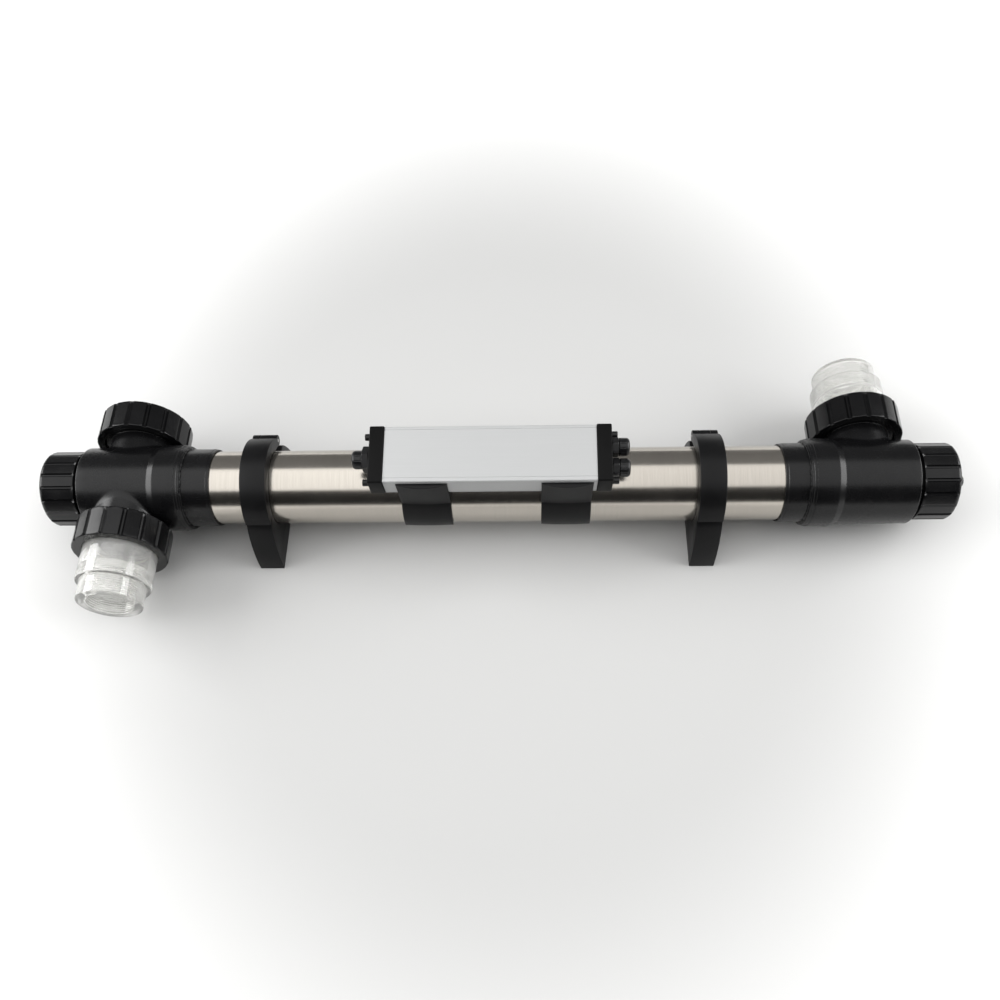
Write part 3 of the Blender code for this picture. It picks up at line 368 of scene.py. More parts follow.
def divided(points: Sequence[Point], longest: float, closed: bool = True) -> list[Point]:
    """Splits each side that is longer than longest."""
    made: list[Point] = []
    count = len(points)
    for index, (x, y) in enumerate(points):
        made.append((x, y))
        if index == count - 1 and not closed:
            break
        next_x, next_y = points[(index + 1) % count]
        parts = int(hypot(next_x - x, next_y - y) / longest) + 1
        made += [(x + (next_x - x) * i / parts, y + (next_y - y) * i / parts) for i in range(1, parts)]
    return made


def inset(points: Sequence[Point], depth: float) -> list[Point]:
    """Moves a closed outline inwards by depth, along the bisector at each point."""
    count = len(points)
    area = sum(points[i - 1][0] * points[i][1] - points[i][0] * points[i - 1][1] for i in range(count))
    turn = 1 if area > 0 else -1
    made: list[Point] = []
    for index, point in enumerate(points):
        back = (Vector(point) - Vector(points[index - 1])).normalized()
        ahead = (Vector(points[(index + 1) % count]) - Vector(point)).normalized()
        along = (back + ahead).normalized()
        made.append((point[0] - along.y * depth * turn, point[1] + along.x * depth * turn))
    return made


def arc(radius: float, start: float, end: float, steps: int, centre: Point = (0.0, 0.0)) -> list[Point]:
    """Points on a circle from start to end degrees, both included."""
    angles = (radians(start + (end - start) * i / steps) for i in range(steps + 1))
    return [(centre[0] + radius * cos(a), centre[1] + radius * sin(a)) for a in angles]


def plain(points: Iterable[Point], radius: float = 0.0) -> list[Corner]:
    """Points as corners that share one round."""
    return [(x, y, radius) for x, y in points]


def skin(rings: Sequence[Sequence[Vector]], looped: bool = False) -> bpy.types.Mesh:
    """Joins rings of points into one closed mesh.

    Args:
        rings: Rings of equal length; a ring of one point is a pole.
        looped: Whether the last ring joins the first. Open ends are capped otherwise.

    Returns:
        The mesh, with its faces outwards.
    """
    shape = bmesh.new()
    made = [[shape.verts.new(point) for point in ring] for ring in rings]
    pairs = list(zip(made, made[1:]))
    if looped:
        pairs.append((made[-1], made[0]))
    for low, high in pairs:
        count = max(len(low), len(high))
        for i in range(count):
            j = (i + 1) % count
            corners = [low[i % len(low)], low[j % len(low)], high[j % len(high)], high[i % len(high)]]
            shape.faces.new(list(dict.fromkeys(corners)))
    if not looped:
        for ring in (made[0], made[-1]):
            if len(ring) > 1:
                shape.faces.new(ring)
    bmesh.ops.recalc_face_normals(shape, faces=shape.faces)
    mesh = bpy.data.meshes.new("skin")
    shape.to_mesh(mesh)
    shape.free()
    return mesh


def turned(stations: Sequence[tuple[Radius, float]], steps: int = FINE) -> bpy.types.Mesh:
    """A solid turned about Z.

    Args:
        stations: Radius and height of each ring. A radius may be a function of the angle, as on a hexagon.
            Stations that start off the axis are a closed section, such as a ring's.
        steps: Sides of the round.

    Returns:
        The closed mesh.
    """
    rings: list[list[Vector]] = []
    for radius, height in stations:
        if not callable(radius) and radius <= 0:
            rings.append([Vector((0, 0, height))])
            continue
        ring = []
        for index in range(steps):
            angle = tau * index / steps
            reach = radius(angle) if callable(radius) else radius
            ring.append(Vector((reach * cos(angle), reach * sin(angle), height)))
        rings.append(ring)
    return skin(rings, looped=len(rings[0]) > 1)


def lofted(sections: Sequence[tuple[float, Sequence[Point]]]) -> bpy.types.Mesh:
    """A solid through (x, outline) sections, each outline being (y, z) points."""
    return skin([[Vector((x, y, z)) for y, z in outline] for x, outline in sections])


def bar(outline: Sequence[Point], low: float, high: float, edge: float = 0.5 * MM) -> bpy.types.Mesh:
    """An outline run along X from low to high, with its two end edges rounded by edge."""
    quarter = [(edge * (1 - sin(a)), edge * (1 - cos(a))) for a in (0, pi / 6, pi / 3, pi / 2)]
    start = [(low + run, inset(outline, drop)) for drop, run in quarter]
    end = [(high - run, inset(outline, drop)) for drop, run in reversed(quarter)]
    return lofted(start + end)


def rectangle(half: float, low: float, high: float, corner: float = 0.0) -> list[Point]:
    """A rounded rectangle, from -half to half across and from low to high."""
    return rounded(plain([(half, high), (-half, high), (-half, low), (half, low)], corner))


def round_bar(radius: float, centre: Point, reach: float, sides: int, edge: float) -> bpy.types.Mesh:
    """A round bar about centre in (y, z), run along X from -reach to reach."""
    return bar(arc(radius, 0, 360 - 360 / sides, sides - 1, centre), -reach, reach, edge)


def towards(origin: Vector, way: Way) -> Matrix:
    """The matrix that takes Z to way and the centre to origin."""
    return Matrix.Translation(origin) @ way.vector.to_track_quat("Z", "Y").to_matrix().to_4x4()


def linked(name: str, data: bpy.types.ID) -> bpy.types.Object:
    """A new object of data, in the scene."""
    obj = bpy.data.objects.new(name, data)
    bpy.context.scene.collection.objects.link(obj)
    return obj


def carve(body: bpy.types.Mesh, other: bpy.types.Mesh, operation: str = "DIFFERENCE") -> bpy.types.Mesh:
    """An exact Boolean of two meshes in place."""
    first, second = linked("body", body), linked("tool", other)
    step = first.modifiers.new("carve", "BOOLEAN")
    step.operation = operation
    step.solver = "EXACT"
    step.object = second
    return evaluated(first, second)


def evaluated(obj: bpy.types.Object, *helpers: bpy.types.Object) -> bpy.types.Mesh:
    """The object's mesh with its modifiers applied; the object and its helpers are removed."""
    graph = bpy.context.evaluated_depsgraph_get()
    mesh = bpy.data.meshes.new_from_object(obj.evaluated_get(graph), depsgraph=graph)
    for old in (obj, *helpers):
        bpy.data.objects.remove(old, do_unlink=True)
    return mesh


def joined(meshes: Sequence[bpy.types.Mesh]) -> bpy.types.Mesh:
    """Several closed meshes in one."""
    shape = bmesh.new()
    for mesh in meshes:
        shape.from_mesh(mesh)
    made = bpy.data.meshes.new("joined")
    shape.to_mesh(made)
    shape.free()
    return made


# ----------------------------------------------------------- geometry nodes


class NodeRecipe:
    """A Geometry Nodes tree with named inputs, which ends in Realize Instances and Set Material."""

    def __init__(self, name: str, inputs: Mapping[str, tuple[str, Any]]) -> None:
        """Starts the tree.

        Args:
            name: The tree's name.
            inputs: Socket type and default of each input.
        """
        self.tree = bpy.data.node_groups.new(name, "GeometryNodeTree")
        self.graph = Graph(self.tree)
        self.tree.interface.new_socket("Geometry", in_out="INPUT", socket_type="NodeSocketGeometry")
        self.tree.interface.new_socket("Geometry", in_out="OUTPUT", socket_type="NodeSocketGeometry")
        for label, (kind, default) in inputs.items():
            socket = self.tree.interface.new_socket(label, in_out="INPUT", socket_type=kind)
            if default is not None:
                socket.default_value = default
        self.tree.interface.new_socket("Material", in_out="INPUT", socket_type="NodeSocketMaterial")
        self.group = self.graph.node("NodeGroupInput")

    def input(self, name: str) -> Field:
        """The tree's input of that name."""
        return self.group.output(name)

    def close(self, geometry: Field) -> None:
        """Ends the tree with the geometry given."""
        real = self.graph.node("GeometryNodeRealizeInstances", None, {0: geometry})
        painted = self.graph.node(
            "GeometryNodeSetMaterial", None, {"Geometry": real, "Material": self.input("Material")}
        )
        self.graph.node("NodeGroupOutput", None, {0: painted})

    def run(self, mesh: bpy.types.Mesh, **values: Any) -> bpy.types.Mesh:
        """Runs the tree on a mesh.

        Args:
            mesh: The geometry that goes in.
            **values: Inputs by name, with underscores for spaces.

        Returns:
            The plain mesh that comes out.
        """
        obj = linked("recipe", mesh)
        step = obj.modifiers.new("recipe", "NODES")
        step.node_group = self.tree
        for label, value in values.items():
            name = label.replace("_", " ")
            step[self.tree.interface.items_tree[name].identifier] = value
        return evaluated(obj)


def radial_shift(graph: Graph, geometry: Field, shift: Field) -> Field:
    """Moves each point away from the Z axis by shift.

    Args:
        graph: The geometry tree.
        geometry: What is moved.
        shift: The distance, on each point.

    Returns:
        The moved geometry.
    """
    place = graph.node("GeometryNodeInputPosition")
    flat = graph.node("ShaderNodeVectorMath", {"operation": "MULTIPLY"}, {0: place, 1: (1, 1, 0)})
    out = graph.node("ShaderNodeVectorMath", {"operation": "NORMALIZE"}, {0: flat})
    offset = graph.node("ShaderNodeVectorMath", {"operation": "SCALE"}, {0: out, "Scale": shift})
    return graph.node("GeometryNodeSetPosition", None, {"Geometry": geometry, "Offset": offset})


def polar(graph: Graph) -> tuple[Field, Field, Field]:
    """Turn about Z (0 to 1), radius and height of each point."""
    place = graph.node("GeometryNodeInputPosition")
    x = graph.node("ShaderNodeSeparateXYZ", None, {0: place})
    y, z = x.output("Y"), x.output("Z")
    turn = graph.math("ARCTAN2", y, x) / tau + 0.5
    radius = graph.math("SQRT", x * x + y * y)
    return turn, radius, z


def named(graph: Graph, name: str) -> Field:
    """A float attribute of the points."""
    return graph.node("GeometryNodeInputNamedAttribute", {"data_type": "FLOAT"}, {"Name": name})


def rib_recipe() -> NodeRecipe:
    """Flat lands with notches between them, where the attribute "grip" is 1."""
    inputs = {"Ribs": (REAL, 16.0), "Depth": (REAL, 2 * MM), "Land": (REAL, 0.74)}
    recipe = NodeRecipe("grip_ribs", inputs)
    graph = recipe.graph
    turn, radius, _ = polar(graph)
    across = ((turn * recipe.input("Ribs")).apply("FRACT") - 0.5).apply("ABSOLUTE") * 2
    land = recipe.input("Land")
    notch = ((across - land) / (1 - land)).smooth(0.0, 0.55)
    local = across * pi / recipe.input("Ribs")
    edge = land * pi / recipe.input("Ribs")
    flat = (edge.apply("COSINE") / local.apply("COSINE") - 1) * radius
    on_land = 1 - notch
    shift = (flat * on_land * 0.8 - notch * recipe.input("Depth")) * named(graph, "grip")
    recipe.close(radial_shift(graph, recipe.input("Geometry"), shift))
    return recipe


def thread_recipe() -> NodeRecipe:
    """A helical thread, where the attribute "thread" is not 0; its sign says which way the crests stand."""
    recipe = NodeRecipe("screw_thread", {"Pitch": (REAL, 2.3 * MM), "Depth": (REAL, 0.8 * MM)})
    graph = recipe.graph
    turn, _, height = polar(graph)
    phase = (height / recipe.input("Pitch") - turn + 1000.0).apply("FRACT")
    wave = (1 - (phase - 0.5).apply("ABSOLUTE") * 2).smooth(0.12, 0.88)
    shift = wave * recipe.input("Depth") * named(graph, "thread")
    recipe.close(radial_shift(graph, recipe.input("Geometry"), shift))
    return recipe


def bead_recipe() -> NodeRecipe:
    """A bead of solvent cement round a joint: a ring of uneven thickness about the Z axis."""
    sizes = {"Radius": (REAL, 0.04), "Height": (REAL, 0.0), "Bead": (REAL, 0.001), "Seed": (WHOLE, 3)}
    recipe = NodeRecipe("cement_bead", sizes)
    graph = recipe.graph

    def circle(sides: int, radius: str) -> Field:
        """A circle whose radius is an input of the tree."""
        values = {"Resolution": sides, "Radius": recipe.input(radius)}
        return graph.node("GeometryNodeCurvePrimitiveCircle", {"mode": "RADIUS"}, values)

    values = {"Scale": 260.0, "Detail": 2.0, "W": recipe.input("Seed")}
    lump = graph.node("ShaderNodeTexNoise", {"noise_dimensions": "4D"}, values)
    thickness = lump.smooth(0.30, 0.70) * 0.7 + 0.5
    ring = graph.node("GeometryNodeSetCurveRadius", None, {0: circle(FINE, "Radius"), "Radius": thickness})
    rim = circle(10, "Bead")
    width = graph.node("GeometryNodeInputRadius")
    values = {"Curve": ring, "Profile Curve": rim, "Scale": width}
    swept = graph.node("GeometryNodeCurveToMesh", None, values)
    lift = graph.node("ShaderNodeCombineXYZ", None, {"Z": recipe.input("Height")})
    recipe.close(graph.node("GeometryNodeTransform", None, {"Geometry": swept, "Translation": lift}))
    return recipe


def copies_recipe() -> NodeRecipe:
    """One shape at each point that goes in, turned to face along the point's normal-like attribute "face"."""
    inputs = {"Shape": ("NodeSocketObject", None), "Spread": (REAL, 0.0), "Seed": (WHOLE, 5)}
    recipe = NodeRecipe("copies", inputs)
    graph = recipe.graph
    info = graph.node("GeometryNodeObjectInfo", None, {"Object": recipe.input("Shape")}, "Geometry")
    face = graph.node("GeometryNodeInputNamedAttribute", {"data_type": "FLOAT_VECTOR"}, {"Name": "face"})
    turn = graph.node("FunctionNodeAlignEulerToVector", {"axis": "Z"}, {"Vector": face})
    low = 1 - recipe.input("Spread")
    values = {2: low, 3: 1.0, "Seed": recipe.input("Seed")}
    chance = graph.node("FunctionNodeRandomValue", {"data_type": "FLOAT"}, values, 1)
    size = graph.node("ShaderNodeCombineXYZ", None, {"X": chance, "Y": chance, "Z": chance})
    values = {"Points": recipe.input("Geometry"), "Instance": info, "Rotation": turn, "Scale": size}
    recipe.close(graph.node("GeometryNodeInstanceOnPoints", None, values))
    return recipe


RIBS = rib_recipe()
THREAD = thread_recipe()
BEAD = bead_recipe()
COPIES = copies_recipe()


def marked(mesh: bpy.types.Mesh, name: str, rule: Callable[[float, float], float]) -> bpy.types.Mesh:
    """Stores rule(radius, height) on each point of a turned mesh, under name."""
    layer = mesh.attributes.new(name, "FLOAT", "POINT")
    for vertex, item in zip(mesh.vertices, layer.data):
        item.value = rule(hypot(vertex.co.x, vertex.co.y), vertex.co.z)
    return mesh


def band(
    radii: Point, heights: Point, level: float = 1.0, run: float = 0.0
) -> Callable[[float, float], float]:
    """A rule for marked: level between two radii and two heights, and 0 elsewhere.

    Args:
        radii: The smallest and largest radius.
        heights: The lowest and highest height.
        level: The value inside.
        run: How far from each of the heights it takes to reach level.

    Returns:
        The rule.
    """

    def rule(radius: float, height: float) -> float:
        """The value at one point."""
        end = min(height - heights[0], heights[1] - height)
        if end <= 0 or not radii[0] < radius < radii[1]:
            return 0.0
        return level * min(1.0, end / run) if run else level

    return rule


def copied(
    shape: bpy.types.Mesh, spots: Sequence[tuple[Vector, Vector]], spread: float = 0.0
) -> bpy.types.Mesh:
    """Copies a shape to spots.

    Args:
        shape: The mesh, with its foot at the origin and its top along Z.
        spots: Place and direction of each copy.
        spread: How much smaller the smallest copy is.

    Returns:
        One mesh with all copies.
    """
    master = linked("master", shape)
    points = bpy.data.meshes.new("spots")
    points.from_pydata([place for place, _ in spots], [], [])
    layer = points.attributes.new("face", "FLOAT_VECTOR", "POINT")
    for item, (_, direction) in zip(layer.data, spots):
        item.vector = direction
    made = COPIES.run(points, Shape=master, Spread=spread)
    bpy.data.objects.remove(master, do_unlink=True)
    return made


# -------------------------------------------------------------- the workshop


class Workshop:
    """Knows the frame, and turns meshes into finished pieces that ride on it."""

    def __init__(self, record: Mapping[str, Any], nodes: Mapping[str, bpy.types.Object]) -> None:
        """Reads each node's body and slot.

        Args:
            record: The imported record.
            nodes: The CAD node objects by name.
        """
        self.nodes = nodes
        self.slots = {part["node"]: part["material_slot"] for part in record["subparts"]}
        bodies = record["behaviour"]["bodies"]
        self.bodies = {node: body for body, members in bodies.items() for node in members}
        self.materials: dict[str, bpy.types.Material] = {}
        self.count = 0

    def material(self, slot: str) -> bpy.types.Material:
        """The slot's material, made when it is first asked for."""
        if slot not in self.materials:
            self.materials[slot] = FINISHES[slot].material(slot)
        return self.materials[slot]

    def middle(self, node: str) -> Vector:
        """The centre of a node's box."""
        low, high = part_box(node)
        return (low + high) / 2

    def finish(self, mesh: bpy.types.Mesh, name: str, *stands_for: str, like: str = "") -> bpy.types.Object:
        """Makes a piece of a mesh, dresses it and lets it ride.

        Args:
            mesh: The piece's mesh, in the frame.
            name: The piece's name.
            *stands_for: The CAD nodes that it replaces.
            like: The node whose body and finish it takes, if it replaces none.

        Returns:
            The finished object.
        """
        node = stands_for[0] if stands_for else like
        slot = self.slots[node]
        mesh.name = name
        mesh.materials.clear()
        mesh.materials.append(self.material(slot))
        for polygon in mesh.polygons:
            polygon.material_index = 0
        mesh.shade_smooth()
        mesh.set_sharp_from_angle(angle=SHARPEST)
        piece = linked(name, mesh)
        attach(piece, self.bodies[node])
        if stands_for:
            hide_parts(*stands_for)
        self.count += 1
        LOG.info("%s: %d faces on %s", name, len(mesh.polygons), self.bodies[node])
        return piece


@dataclass
class Assembly:
    """A sub-assembly that is built in one workshop."""

    shop: Workshop

    def put(self, mesh: bpy.types.Mesh, place: Matrix, name: str, node: str) -> bpy.types.Object:
        """Moves a mesh to its place and makes it the piece that stands for a node."""
        mesh.transform(place)
        return self.shop.finish(mesh, name, node)

    def turn(
        self,
        node: str,
        stations: Sequence[tuple[Radius, float]],
        origin: Vector,
        way: Way,
        steps: int = MEDIUM,
        name: str = "",
    ) -> bpy.types.Object:
        """Turns a plain piece that stands for a node.

        Args:
            node: The node.
            stations: Radius and height along way.
            origin: Where height is 0.
            way: The direction of its axis.
            steps: Sides of the round.
            name: The piece's name, or "" for the node's with "_turned".

        Returns:
            The piece.
        """
        return self.put(turned(stations, steps), towards(origin, way), name or f"{node}_turned", node)


def ring(inner: float, outer: float, low: float, high: float, edge: float = 0.3 * MM) -> list[Point]:
    """The rounded section of a ring."""
    corners = [(outer, high), (outer, low), (inner, low), (inner, high)]
    return rounded(plain(corners, edge))


def rod(radius: float, low: float, high: float, edge: float = 0.3 * MM) -> list[Point]:
    """The rounded section of a rod."""
    return rounded([(0, high, 0), (radius, high, edge), (radius, low, edge), (0, low, 0)], closed=False)


# ------------------------------------------------------------------- reactor


@dataclass
class TeeSize:
    """Sizes of a tee along its run and its ports, from where their axes cross."""

    barrel: float = 42.8 * MM
    collar: float = 45.05 * MM
    bore: float = 34 * MM
    socket: float = 40.85 * MM
    socket_floor: float = 35.5 * MM
    socket_mouth: float = 63.5 * MM
    barrel_end: float = 43.3 * MM
    neck: float = 35.5 * MM
    neck_bore: float = 29.5 * MM
    neck_end: float = 69 * MM
    port: float = 33 * MM
    port_bore: float = 27 * MM
    port_thread: float = 39 * MM
    port_thread_start: float = 51 * MM
    port_face: float = 68 * MM
    fillet: float = 3.4 * MM
    seal_inner: float = 30.5 * MM
    seal_outer: float = 34 * MM
    seal_depth: float = 2.6 * MM


@dataclass
class Reactor(Assembly):
    """The steel tube, its two sleeves and the two tees."""

    tee: TeeSize = field(default_factory=TeeSize)
    tube: float = 38.05 * MM
    tube_bore: float = 36.55 * MM
    sleeve: float = 40.55 * MM
    sleeve_bore: float = 38.35 * MM
    sleeve_lip: float = 4 * MM

    def build(self) -> None:
        """Builds the five pieces and the cement at the joints."""
        low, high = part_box("reactor_tube")
        middle = self.shop.middle("reactor_tube")
        half = (high.x - low.x) / 2
        section = ring(self.tube_bore, self.tube, -half, half, 0.5 * MM)
        section = divided(section, 30 * MM)
        self.turn("reactor_tube", section, middle, Way.RIGHT, FINE)
        self.sleeve_piece("left_sleeve", Way.LEFT)
        self.sleeve_piece("right_sleeve", Way.RIGHT)
        left = Vector((self.shop.middle("blank_nut").x, 0, middle.z))
        right = Vector((self.shop.middle("outlet_nut").x, 0, middle.z))
        self.tee_piece("left_cross", left, Way.LEFT, (Way.FRONT, Way.REAR))
        self.tee_piece("right_tee", right, Way.RIGHT, (Way.REAR,))
        self.cement("left_cross", left, Way.LEFT, 3)
        self.cement("right_tee", right, Way.RIGHT, 8)

    def sleeve_piece(self, node: str, way: Way) -> None:
        """A reducer sleeve, with a turned step near the steel."""
        low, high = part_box(node)
        length = high.x - low.x
        origin = self.shop.middle(node) - way.vector * length / 2
        shown = self.sleeve
        corners = [
            (shown, length, 0.3 * MM),
            (shown, 3.2 * MM, 0.2 * MM),
            (shown - 0.5 * MM, 2.6 * MM, 0.2 * MM),
            (shown - 0.5 * MM, 0, 0.6 * MM),
            (self.sleeve_bore, 0, 0.3 * MM),
            (self.sleeve_bore, length - self.sleeve_lip, 0.2 * MM),
            (self.tube_bore, length - self.sleeve_lip, 0.3 * MM),
            (self.tube_bore, length, 0.3 * MM),
        ]
        self.turn(node, rounded(corners), origin, way, FINE)

    def tee_piece(self, node: str, centre: Vector, way: Way, ports: Sequence[Way]) -> None:
        """A moulded tee or cross.

        Args:
            node: The CAD node.
            centre: Where its axes cross.
            way: From the steel towards the cap.
            ports: The ways its ports point.
        """
        size = self.tee
        mouth, floor = -size.socket_mouth, -size.socket_floor
        outer = [
            (0, size.neck_end, 0),
            (size.neck, size.neck_end, 0.8 * MM),
            (size.neck, size.barrel_end, 0.9 * MM),
            (size.barrel, size.barrel_end, 1.3 * MM),
            (size.barrel, floor + 5.4 * MM, 5 * MM),
            (size.collar, floor - 1.2 * MM, 5 * MM),
            (size.collar, mouth + 5.2 * MM, 0.3 * MM),
            (size.collar - 0.7 * MM, mouth + 4.8 * MM, 0.2 * MM),
            (size.collar - 0.7 * MM, mouth + 2.6 * MM, 0.3 * MM),
            (size.collar - 1.3 * MM, mouth + 2.1 * MM, 0.3 * MM),
            (size.collar - 1.3 * MM, mouth, 0.9 * MM),
            (0, mouth, 0),
        ]
        body = turned(divided(rounded(outer, closed=False, steps=5), 8 * MM, closed=False), FINE)
        body.transform(towards(centre, way))
        for side in ports:
            body = carve(body, self.port_solid(centre, side), "UNION")
        bore = [
            (0, size.neck_end + 5 * MM),
            (size.neck_bore + 3 * MM, size.neck_end + 5 * MM),
            (size.neck_bore + 3 * MM, size.neck_end - 4 * MM),
            (size.neck_bore, size.neck_end - 4 * MM),
            (size.neck_bore, size.barrel_end - 11 * MM),
            (size.bore, size.barrel_end - 11 * MM),
            (size.bore, floor),
            (size.socket, floor),
            (size.socket, mouth - 5 * MM),
            (0, mouth - 5 * MM),
        ]
        cutter = turned(bore, FINE)
        cutter.transform(towards(centre, way))
        body = carve(body, cutter)
        for side in ports:
            groove_floor = size.port_face - size.seal_depth
            above = size.port_face + MM
            water_way = [(0, above), (size.port_bore, above), (size.port_bore, 0), (0, 0)]
            groove = ring(size.seal_inner, size.seal_outer, groove_floor, above, 0.1 * MM)
            for cutter in (turned(water_way), turned(groove)):
                cutter.transform(towards(centre, side))
                body = carve(body, cutter)
        self.shop.finish(body, f"{node}_moulding", node)

    def port_solid(self, centre: Vector, side: Way) -> bpy.types.Mesh:
        """A port that flares into the barrel, as a solid from the barrel's inside to the port's face."""
        size = self.tee
        sunk = 0.15 * MM
        rings: list[list[Vector]] = [[Vector((0, 0, 0))]]
        around = [(cos(tau * i / FINE), sin(tau * i / FINE)) for i in range(FINE)]
        levels = [(size.fillet, -1.5 * MM)]
        for step in range(7):
            angle = pi / 2 * (1 - step / 6)
            levels.append((size.fillet * (1 - cos(angle)), size.fillet * (1 - sin(angle)) - sunk))
        for out, lift in levels:
            foot = [(x * (size.port + out), y * (size.port + out)) for x, y in around]
            rings.append([Vector((x, y, sqrt(size.barrel**2 - y**2) + lift)) for x, y in foot])
        start, face = size.port_thread_start, size.port_face
        neck = [
            (size.port, start, 0.8 * MM),
            (size.port_thread, start, 0.8 * MM),
            (size.port_thread, face, 0.8 * MM),
            (0, face, 0),
        ]
        path = rounded([(size.port, start - 4 * MM, 0), *neck], closed=False)
        for reach, height in path:
            spots = around if reach > 0 else [(0, 0)]
            rings.append([Vector((reach * x, reach * y, height)) for x, y in spots])
        mesh = skin(rings)
        mesh.transform(towards(centre, side))
        return mesh

    def cement(self, node: str, centre: Vector, way: Way, seed: int) -> None:
        """The cement that shows where the sleeve enters the tee."""
        bead = BEAD.run(
            bpy.data.meshes.new("bead"),
            Radius=self.sleeve + 0.5 * MM,
            Height=-self.tee.socket_mouth - 0.1 * MM,
            Bead=1.3 * MM,
            Seed=seed,
        )
        bead.transform(towards(centre, way))
        self.shop.finish(bead, f"{node}_cement", like=node)


# -------------------------------------------------------------------- unions


@dataclass
class Union(Assembly):
    """A union on one port: seal, adapter or blanking plug, slip ring and ribbed nut."""

    name: str = "inlet"
    centre: Vector = field(default_factory=Vector)
    way: Way = Way.FRONT
    blank: bool = False
    nut: float = 47 * MM
    nut_start: float = 48.7 * MM
    nut_end: float = 79.9 * MM
    nut_bore: float = 39.4 * MM
    nut_hole: float = 37 * MM
    lip: float = 6 * MM
    adapter: float = 36.6 * MM
    adapter_bore: float = 29 * MM
    adapter_collar: float = 39 * MM
    collar_start: float = 68.2 * MM
    collar_end: float = 71.7 * MM
    step: float = 115.2 * MM
    end: float = 135.2 * MM
    tip: float = 32.2 * MM
    thread: float = 23.4 * MM
    thread_floor: float = 99.2 * MM

    def build(self) -> None:
        """Builds the union's four pieces."""
        seal = ring(30.8 * MM, 33.7 * MM, 65.7 * MM, 68.1 * MM, 0.9 * MM)
        self.turn(f"{self.name}_seal", seal, self.centre, self.way)
        slip = ring(self.nut_hole, self.adapter_collar, 72 * MM, 73.6 * MM, 0.35 * MM)
        self.turn(f"{self.name}_slip_ring", slip, self.centre, self.way, FINE)
        self.nut_piece()
        if self.blank:
            self.plug_piece()
        else:
            self.adapter_piece()

    def nut_piece(self) -> None:
        """The nut: flat lands between narrow notches, and a rounded rim at each end."""
        lip_start = self.nut_end - self.lip
        corners = [
            (self.nut, self.nut_end, 1.6 * MM),
            (self.nut, self.nut_start, 1.2 * MM),
            (self.nut_bore, self.nut_start, 0.5 * MM),
            (self.nut_bore, lip_start, 0.3 * MM),
            (self.nut_hole, lip_start, 0.3 * MM),
            (self.nut_hole, self.nut_end, 0.7 * MM),
        ]
        section = divided(rounded(corners), 1.6 * MM)
        mesh = turned(section, 16 * 22)
        sides = (self.nut_start - 0.2 * MM, self.nut_end + 0.2 * MM)
        grip = band((self.nut - 2 * MM, inf), sides, run=1.6 * MM)
        mesh = RIBS.run(marked(mesh, "grip", grip), Ribs=16.0, Depth=2.2 * MM, Land=0.72)
        self.put(mesh, towards(self.centre, self.way), f"{self.name}_nut_ribbed", f"{self.name}_nut")

    def plug_piece(self) -> None:
        """The blanking plug, with a shallow dish and a ring round it in its face."""
        corners = [
            (0, self.nut_end - 3.4 * MM, 0),
            (self.adapter - 7 * MM, self.nut_end - 3.4 * MM, 1.5 * MM),
            (self.adapter - 5.5 * MM, self.nut_end - 0.2 * MM, 0.6 * MM),
            (self.adapter, self.nut_end - 0.2 * MM, 0.7 * MM),
            (self.adapter, self.collar_end, 0.4 * MM),
            (self.adapter_collar, self.collar_end, 0.5 * MM),
            (self.adapter_collar, self.collar_start, 0.5 * MM),
            (0, self.collar_start, 0),
        ]
        self.turn(f"{self.name}_plug", rounded(corners, closed=False), self.centre, self.way, FINE)

    def adapter_piece(self) -> None:
        """The clear stepped adapter, with its pipe thread inside."""
        taper = self.adapter_bore - self.thread
        corners = [
            (self.tip, self.end, 1.1 * MM),
            (self.tip, self.step, 0.8 * MM),
            (self.adapter, self.step, 1.4 * MM),
            (self.adapter, self.collar_end, 0.5 * MM),
            (self.adapter_collar, self.collar_end, 0.5 * MM),
            (self.adapter_collar, self.collar_start, 0.4 * MM),
            (self.adapter_bore, self.collar_start, 0.6 * MM),
            (self.adapter_bore, self.thread_floor, 0.8 * MM),
            (self.thread, self.thread_floor + taper, 0.5 * MM),
            (self.thread, self.end, 0.9 * MM),
        ]
        mesh = turned(divided(rounded(corners), 0.38 * MM), FINE)
        mouth = (self.thread_floor + taper + MM, self.end - 1.5 * MM)
        crest = band((0, self.thread + 0.1 * MM), mouth, -1.0)
        mesh = THREAD.run(marked(mesh, "thread", crest), Pitch=2.31 * MM, Depth=1.3 * MM)
        self.put(mesh, towards(self.centre, self.way), f"{self.name}_adapter_clear", f"{self.name}_adapter")


# --------------------------------------------------------------- end closures


